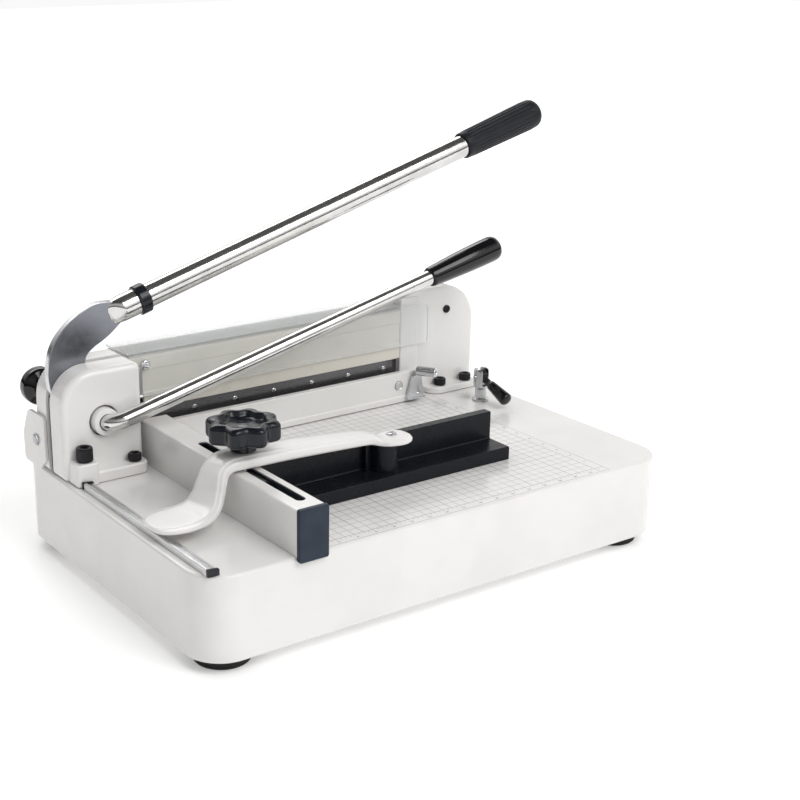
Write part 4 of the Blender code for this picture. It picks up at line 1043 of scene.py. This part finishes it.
profile = [(-9, 0)] + [(-9 + 1.7 * k, 11.0 + 0.2 * k) for k in range(11)] + [(23.4, 13), (24, 12.6), (24, 0)]
ferrule = turned("ferrule", profile, tube_point(1.0), tube_way, 96, flattened)
fit(ferrule, "blade_lever", chrome_tube, "chrome", "lever_socket", crease=30)
ring = turned("black_ring", [(0, 0), (0, 13.4), (0.5, 14.4), (1.4, 15), (10.6, 15), (11.5, 14.4), (12, 13.4),
                             (12, 0)], tube_point(25.3), tube_way, 96)
fit(ring, "blade_lever", satin_black, "black_plastic", "lever_collar")
TUBE = 482
tube = turned("long_tube", [(0, 0), (0, 12), (TUBE, 12), (TUBE, 9), (420, 9), (420, 0)], tube_point(37.6),
              tube_way, 96)
fit(tube, "blade_lever", chrome_tube, "chrome", "lever_tube")
print("tube length:", TUBE, "mm, slope:", round(math.degrees(slope), 1))


# %% Ribbed grip
def ribs(angle, radius, along):
    depth = 0.32 * fade(along, 6, 9) * fade(96 - along, 0, 3)
    return radius + (depth * math.cos(28 * angle) if radius > 13.5 else 0)


profile = [(74, 0), (74, 12.3), (0, 12.3), (0, 13.4), (0.4, 14.0), (1.4, 14.4)]
profile += [(3 + 3 * k, 14.5 + 1.75 * (3 + 3 * k) / 98) for k in range(32)]
profile += [(99.5, 16.2), (102.5, 15.8), (105, 14.8), (107.2, 12.8), (108.6, 9.6), (109.3, 5.2), (109.5, 0)]
grip = turned("ribbed_grip", profile, tube_point(447), tube_way, 168, ribs)
fit(grip, "blade_lever", grip_black, "black_plastic", "lever_grip", crease=40)
print("grip:", 109.5, "mm long")

# %% [markdown]
# ## The clamp lever
# A bent chromed rod comes out of the white hub disc in the casing's front, turns along the blade and ends in
# a tapered grip of polished black phenolic. A curve with a round section makes the bend.

# %% Rod, hub and grip
rise = math.radians(13.8)
rod_way = Vector((math.cos(rise), 0, math.sin(rise)))
ROD_Y = (span("clamp_grip")[0].y + span("clamp_grip")[1].y) / 2
elbow = Vector((PIVOT.x, ROD_Y, PIVOT.z))
end = elbow + rod_way * 450
rod = swept("clamp_rod_bent", [(PIVOT.x, 265.8, PIVOT.z, 0), (*elbow, 15.5), (*end, 0)], 8)
fit(rod, "clamp_lever", chrome_tube, "chrome", "clamp_rod")
profile = [(8, 8.3), (0.4, 8.3), (0, 8.7), (0, 12.3), (0.4, 13.1), (1.2, 13.5), (13.7, 13.5), (13.7, 8.1),
           (8, 8.1)]
hub = turned("hub_disc", profile, (PIVOT.x, 258, PIVOT.z), ACROSS, 96)
fit(hub, "clamp_lever", white_enamel, "enamel", "clamp_hub")
profile = [(60, 0), (60, 8.3), (0, 8.3), (0, 9.2), (0.5, 10.0), (1.6, 10.5)]
profile += [(4 + 6 * k, 10.6 + 3.25 * math.sin(math.pi / 2 * (4 + 6 * k) / 86)) for k in range(14)]
profile += [(87, 13.8), (90, 13.3), (92.6, 12.0), (94.6, 9.6), (95.7, 6.0), (96, 0)]
handle = turned("phenolic_grip", profile, elbow + rod_way * 391.5, rod_way, 96)
fit(handle, "clamp_lever", phenolic_black, "gloss_black", "clamp_grip")
print("clamp rod plane:", round(ROD_Y, 1))

# %% [markdown]
# ## Clamp bar and blade
# The clamp is a flat white bar with a slightly thicker foot where it meets the paper. At its right end sit a
# grey plug and a small chromed bracket with a tube.

# %% Clamp bar and its fittings
c_low, c_high = span("clamp_beam")
section = rounded([(c_low.y, 83, 0.8), (c_high.y, 83, 0.5), (c_high.y, 117, 0.8), (c_low.y + 1.1, 117, 1.2),
                   (c_low.y + 1.1, 90.5, 0.8), (c_low.y, 89, 0.8)], 4)
clamp = slab("clamp_bar", section, "X", 88, c_high.x)
tongue = block("tongue", (c_low.x, c_low.y + 0.4, 86), (96, c_high.y - 0.4, 112), 0.8, 2)
join(clamp, tongue)
cut(clamp, drill(5.2, 413, 103, 270, 16, 40))
fit(clamp, "clamp", white_enamel, "enamel", "clamp_beam")
low, high = span("clamp_plug")
plug = turned("grey_plug", [(0, 0), (0.5, 2.2), (0.5, 3.6), (0, 4.2), (0.3, 4.9), (4.6, 4.9), (4.6, 0)],
              (413, low.y, 103), ACROSS, 48)
fit(plug, "clamp", satin_aluminium, "aluminium", "clamp_plug")

face = rounded([(421, 86, 1.5), (446.4, 86, 1.5), (440.5, 112.4, 4), (429, 112.4, 4)], 6)
window = rounded([(429, 91, 1.5), (439, 91, 1.5), (437, 101, 2), (431.5, 101, 2)], 4)
plate = slab("bracket_plate", face, "Y", 277.4, 281.2, 0.5, 2)
cut(plate, slab("window", window, "Y", 270, 279.2))
lip = block("lip", (421.5, 274.8, 86), (446, 278.5, 88.4), 0.5, 2)
join(plate, lip)
fit(plate, "clamp", chrome_small, "chrome", "clamp_bracket")
way = Vector((0.55, -0.83, 0)).normalized()
mouth = Vector((434, 277.0, 118.3))
roller = turned("bracket_tube", [(0, 2.8), (0, 5.1), (0.4, 5.5), (21.4, 5.5), (22, 5.0), (22, 3.4), (21.2, 2.8)],
                mouth, way, 48)
fit(roller, "clamp", chrome_small, "chrome", "clamp_roller")
# A dark rod fills the tube's bore: painted shade for the inside of the tube.
bore_shade_core = turned("tube_bore_shade", [(0, 0), (0, 2.6), (19.5, 2.6), (19.5, 0)], mouth + way, way, 32)
fit(bore_shade_core, "clamp", oxide_black, "black_steel")
print("clamp bar:", round(c_high.x - c_low.x), "mm")

# %% [markdown]
# Behind the clamp the blade bar and the blade show as a dark band with a row of bright screw tips. Both solids
# already have the right shape, so they only get their finishes: black for the bar, and for the blade a dull
# body with a ground strip along its edge.

# %% Blade, blade bar and screws
def finish_solid(node, material):
    nodes[node].data.materials.clear()
    nodes[node].data.materials.append(material)


finish_solid("blade_carrier", moulded("blade_bar_black", (0.06, 0.061, 0.064), 0.3, 0.9, 0.02))
knife = Finish("ground_knife", Metallic=0.85)
height = knife.split(knife.place())[2] - base_low.z / MM
streak = knife.noise(0.5, 5, 0.65, (0.05, 1, 1))
ground = knife.blend(streak.ramp(0.3, 0.75), (0.42, 0.43, 0.45), (0.30, 0.31, 0.33))
knife.feed(Base_Color=knife.blend(height.ramp(96, 98), ground, (0.17, 0.17, 0.175)))
knife.feed(Roughness=streak.ramp(0.25, 0.8, 0.2, 0.42))
finish_solid("blade", knife.material)
profile = [(0, 0), (0.3, 2.4), (0.7, 3.0), (12, 3.0), (14.8, 3.0), (14.8, 5.4), (15.6, 5.2), (16.6, 4.0),
           (17.2, 2.4), (16.2, 2.0), (16.2, 0)]
for index in range(1, 7):
    low, high = span("blade_screw_%d" % index)
    tip = turned("blade_screw_turned_%d" % index, profile, ((low.x + high.x) / 2, low.y, (low.z + high.z) / 2),
                 ACROSS, 32)
    fit(tip, "blade_carriage", chrome_small, "steel", "blade_screw_%d" % index)
print("blade screws: 6")

# %% [markdown]
# ## The quick lever
# Near the post a chromed stud stands on the table. Its forked top holds a cam with a short black handle that
# rests down towards the gauge side.

# %% Stud, cam and handle
CAM = Vector((498, 242, 110))
profile = [
    (0, 0), (0, 8.6), (0.5, 9), (1.8, 9), (2.4, 8.2), (3.2, 6.6), (4, 6.3), (13, 6.3), (14.4, 7.2), (16, 8.5),
    (34, 8.5), (35.8, 7.9), (36.7, 6.4), (37, 4), (37, 0)]
stud = turned("fork_stud", profile, (CAM.x, CAM.y, SEAT), UP, 72)
cut(stud, block("fork_gap", (493.7, 220, 100), (502.3, 262, 130)))
join(stud, turned("pin", [(0, 0), (0.3, 2.0), (0.8, 2.3), (20.2, 2.3), (20.7, 2.0), (21, 0)],
                  (487.5, CAM.y, CAM.z), RIGHT, 32))
fit(stud, "base", chrome_small, "chrome", "cam_stud")
cam = turned("cam_disc", [(0, 0), (0, 7.4), (0.6, 8), (7.4, 8), (8, 7.4), (8, 0)], (494, CAM.y, CAM.z),
             RIGHT, 64)
drop = math.radians(-21)
profile = [(4, 0), (4, 3.8), (14.5, 3.8), (16, 4.1), (18, 5.2), (22, 5.6), (43, 7.3), (45.4, 7.2), (47, 6.3),
           (47.8, 4.6), (48, 0)]
join(cam, turned("cam_grip", profile, CAM, Vector((0, -math.cos(drop), math.sin(drop))), 64))
cut(cam, bar("cam_bore", 2.5, (480, CAM.y, CAM.z), RIGHT, 40, 32))
fit(cam, "quick_lever", phenolic_black, "gloss_black", "cam_handle", crease=40)
print("quick lever done")

# %% [markdown]
# ## Solids that stay as they are
# Inside the casing and the guide a few solids are already right: the shaft, pinion, rack, link and carriage.
# They only need their metal.

# %% Finishes for the inner solids
finish_solid("bottom_plate", white_enamel)
bare_steel = ("gauge_carriage", "knob_stud", "pivot_shaft", "crank_pin", "swing_link", "link_pin", "clamp_rack",
              "clamp_pinion")
for name in bare_steel:
    finish_solid(name, ground_steel)
print("solids kept:", len(bare_steel) + 3)

# %% [markdown]
# ## Studio
# The machine stands on a pale floor that glows faintly, like a lit paper sweep. A large soft light in front and
# above does most of the work. A weaker one overhead evens out the table, and is kept out of reflections so that
# it doesn't wash out the blacks. The third stands behind and lights the far edges.

# %% Floor and lights
floor = slab("studio_floor", rectangle(-9000, 9000, -9000, 9000), "Z", -62, (cad_low.z - base_low.z) / MM)
floor_paint = Finish("floor_paint", Roughness=0.8, Specular_IOR_Level=0.1, Emission_Strength=1.0)
floor_paint.feed(Base_Color=floor_paint.blend(floor_paint.noise(900, 2), (0.86, 0.86, 0.86), (0.9, 0.9, 0.9)))
distance = floor_paint.node("ShaderNodeVectorMath", {"operation": "LENGTH"}, [floor_paint.place()], out=1)
glow = floor_paint.blend(distance.ramp(900, 3200), (0.26, 0.26, 0.26), (0.72, 0.72, 0.72))
floor_paint.feed(Emission_Color=glow)
floor.data.materials.append(floor_paint.material)
floor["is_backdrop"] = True


def soft_light(name, place, target, size, power):
    data = bpy.data.lights.new(name, "AREA")
    data.shape = "RECTANGLE"
    data.size, data.size_y = size
    data.energy = power
    obj = show(name, data)
    obj.location = place
    obj.rotation_euler = (Vector(target) - Vector(place)).to_track_quat("-Z", "Y").to_euler()
    return obj


soft_light("key", (0.45, -2.3, 2.6), (0, 0, 0.1), (2.0, 1.8), 52)
overhead = soft_light("overhead", (-0.5, -0.3, 2.5), (0, 0, 0.1), (2.4, 2.0), 15)
overhead.visible_glossy = False
soft_light("back", (0.2, 2.4, 2.4), (0, 0, 0.1), (3.0, 1.4), 36)
print("lights: key, overhead, back")

# %% [markdown]
# Chrome shows only what it mirrors, so its surround has bright parts, two dark bands and a dimmer left side.
# The camera itself sees a plain pale surround instead. The plain view transform keeps white enamel white.

# %% Surround
world = bpy.data.worlds.new("studio")
bpy.context.scene.world = world
world.use_nodes = True
room = Graph(world.node_tree)
room.tree.nodes.remove(room.tree.nodes["Background"])
x, _, z = room.split(room.node("ShaderNodeTexCoord"))
levels = [(0.0, 0.8), (0.47, 0.7), (0.5, 0.08), (0.555, 0.1), (0.62, 0.85), (0.76, 1.0), (0.86, 0.4),
          (0.93, 0.07), (1.0, 0.1)]
stops = [(place, (level, level * 0.99, level * 0.975)) for place, level in levels]
bands = room.node("ShaderNodeValToRGB", {"stops": stops}, [z * 0.5 + 0.5])
strength = room.node("ShaderNodeMapRange", {}, [x, -0.9, 0.2, 0.3, 1.15])
mirrored = room.node("ShaderNodeBackground", {}, [bands, strength])
seen = room.node("ShaderNodeBackground", {}, [(0.95, 0.95, 0.95)])
camera_ray = room.node("ShaderNodeLightPath")
pick = room.node("ShaderNodeMixShader", {}, [camera_ray, mirrored, seen])
room.plug(room.tree.nodes["World Output"].inputs[0], pick)
bpy.context.scene.view_settings.view_transform = "Standard"
print("surround:", len(levels), "levels")

# %% [markdown]
# The camera stands on the gauge side, a little to the left and about twenty degrees up. Its long lens keeps the
# edges of the base nearly parallel, and a small shift makes room for the lever.

# %% Camera
azimuth, elevation = math.radians(-33.8), math.radians(19.06)
camera = bpy.data.cameras.new("camera")
camera.lens = 65.3
camera.sensor_width = 36.0
camera.shift_x = 0.1174
camera.shift_y = 0.0236
camera.clip_start, camera.clip_end = 0.05, 60.0
eye = show("camera", camera)
eye.location = spot(-528, -938, 595)
back = Vector((math.sin(azimuth) * math.cos(elevation), -math.cos(azimuth) * math.cos(elevation),
               math.sin(elevation)))
eye.rotation_euler = (-back).to_track_quat("-Z", "Y").to_euler()
bpy.context.scene.camera = eye
print("camera at", [round(v, 3) for v in eye.location])

# %% [markdown]
# The box that the fine pieces fill is printed, as the solids' size was printed at the start. The
# fine pieces have to stay inside the box that the solids fill.

# %% Print the size of the visible pieces
low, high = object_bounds()
print("visual size:", [round(v, 4) for v in high - low])
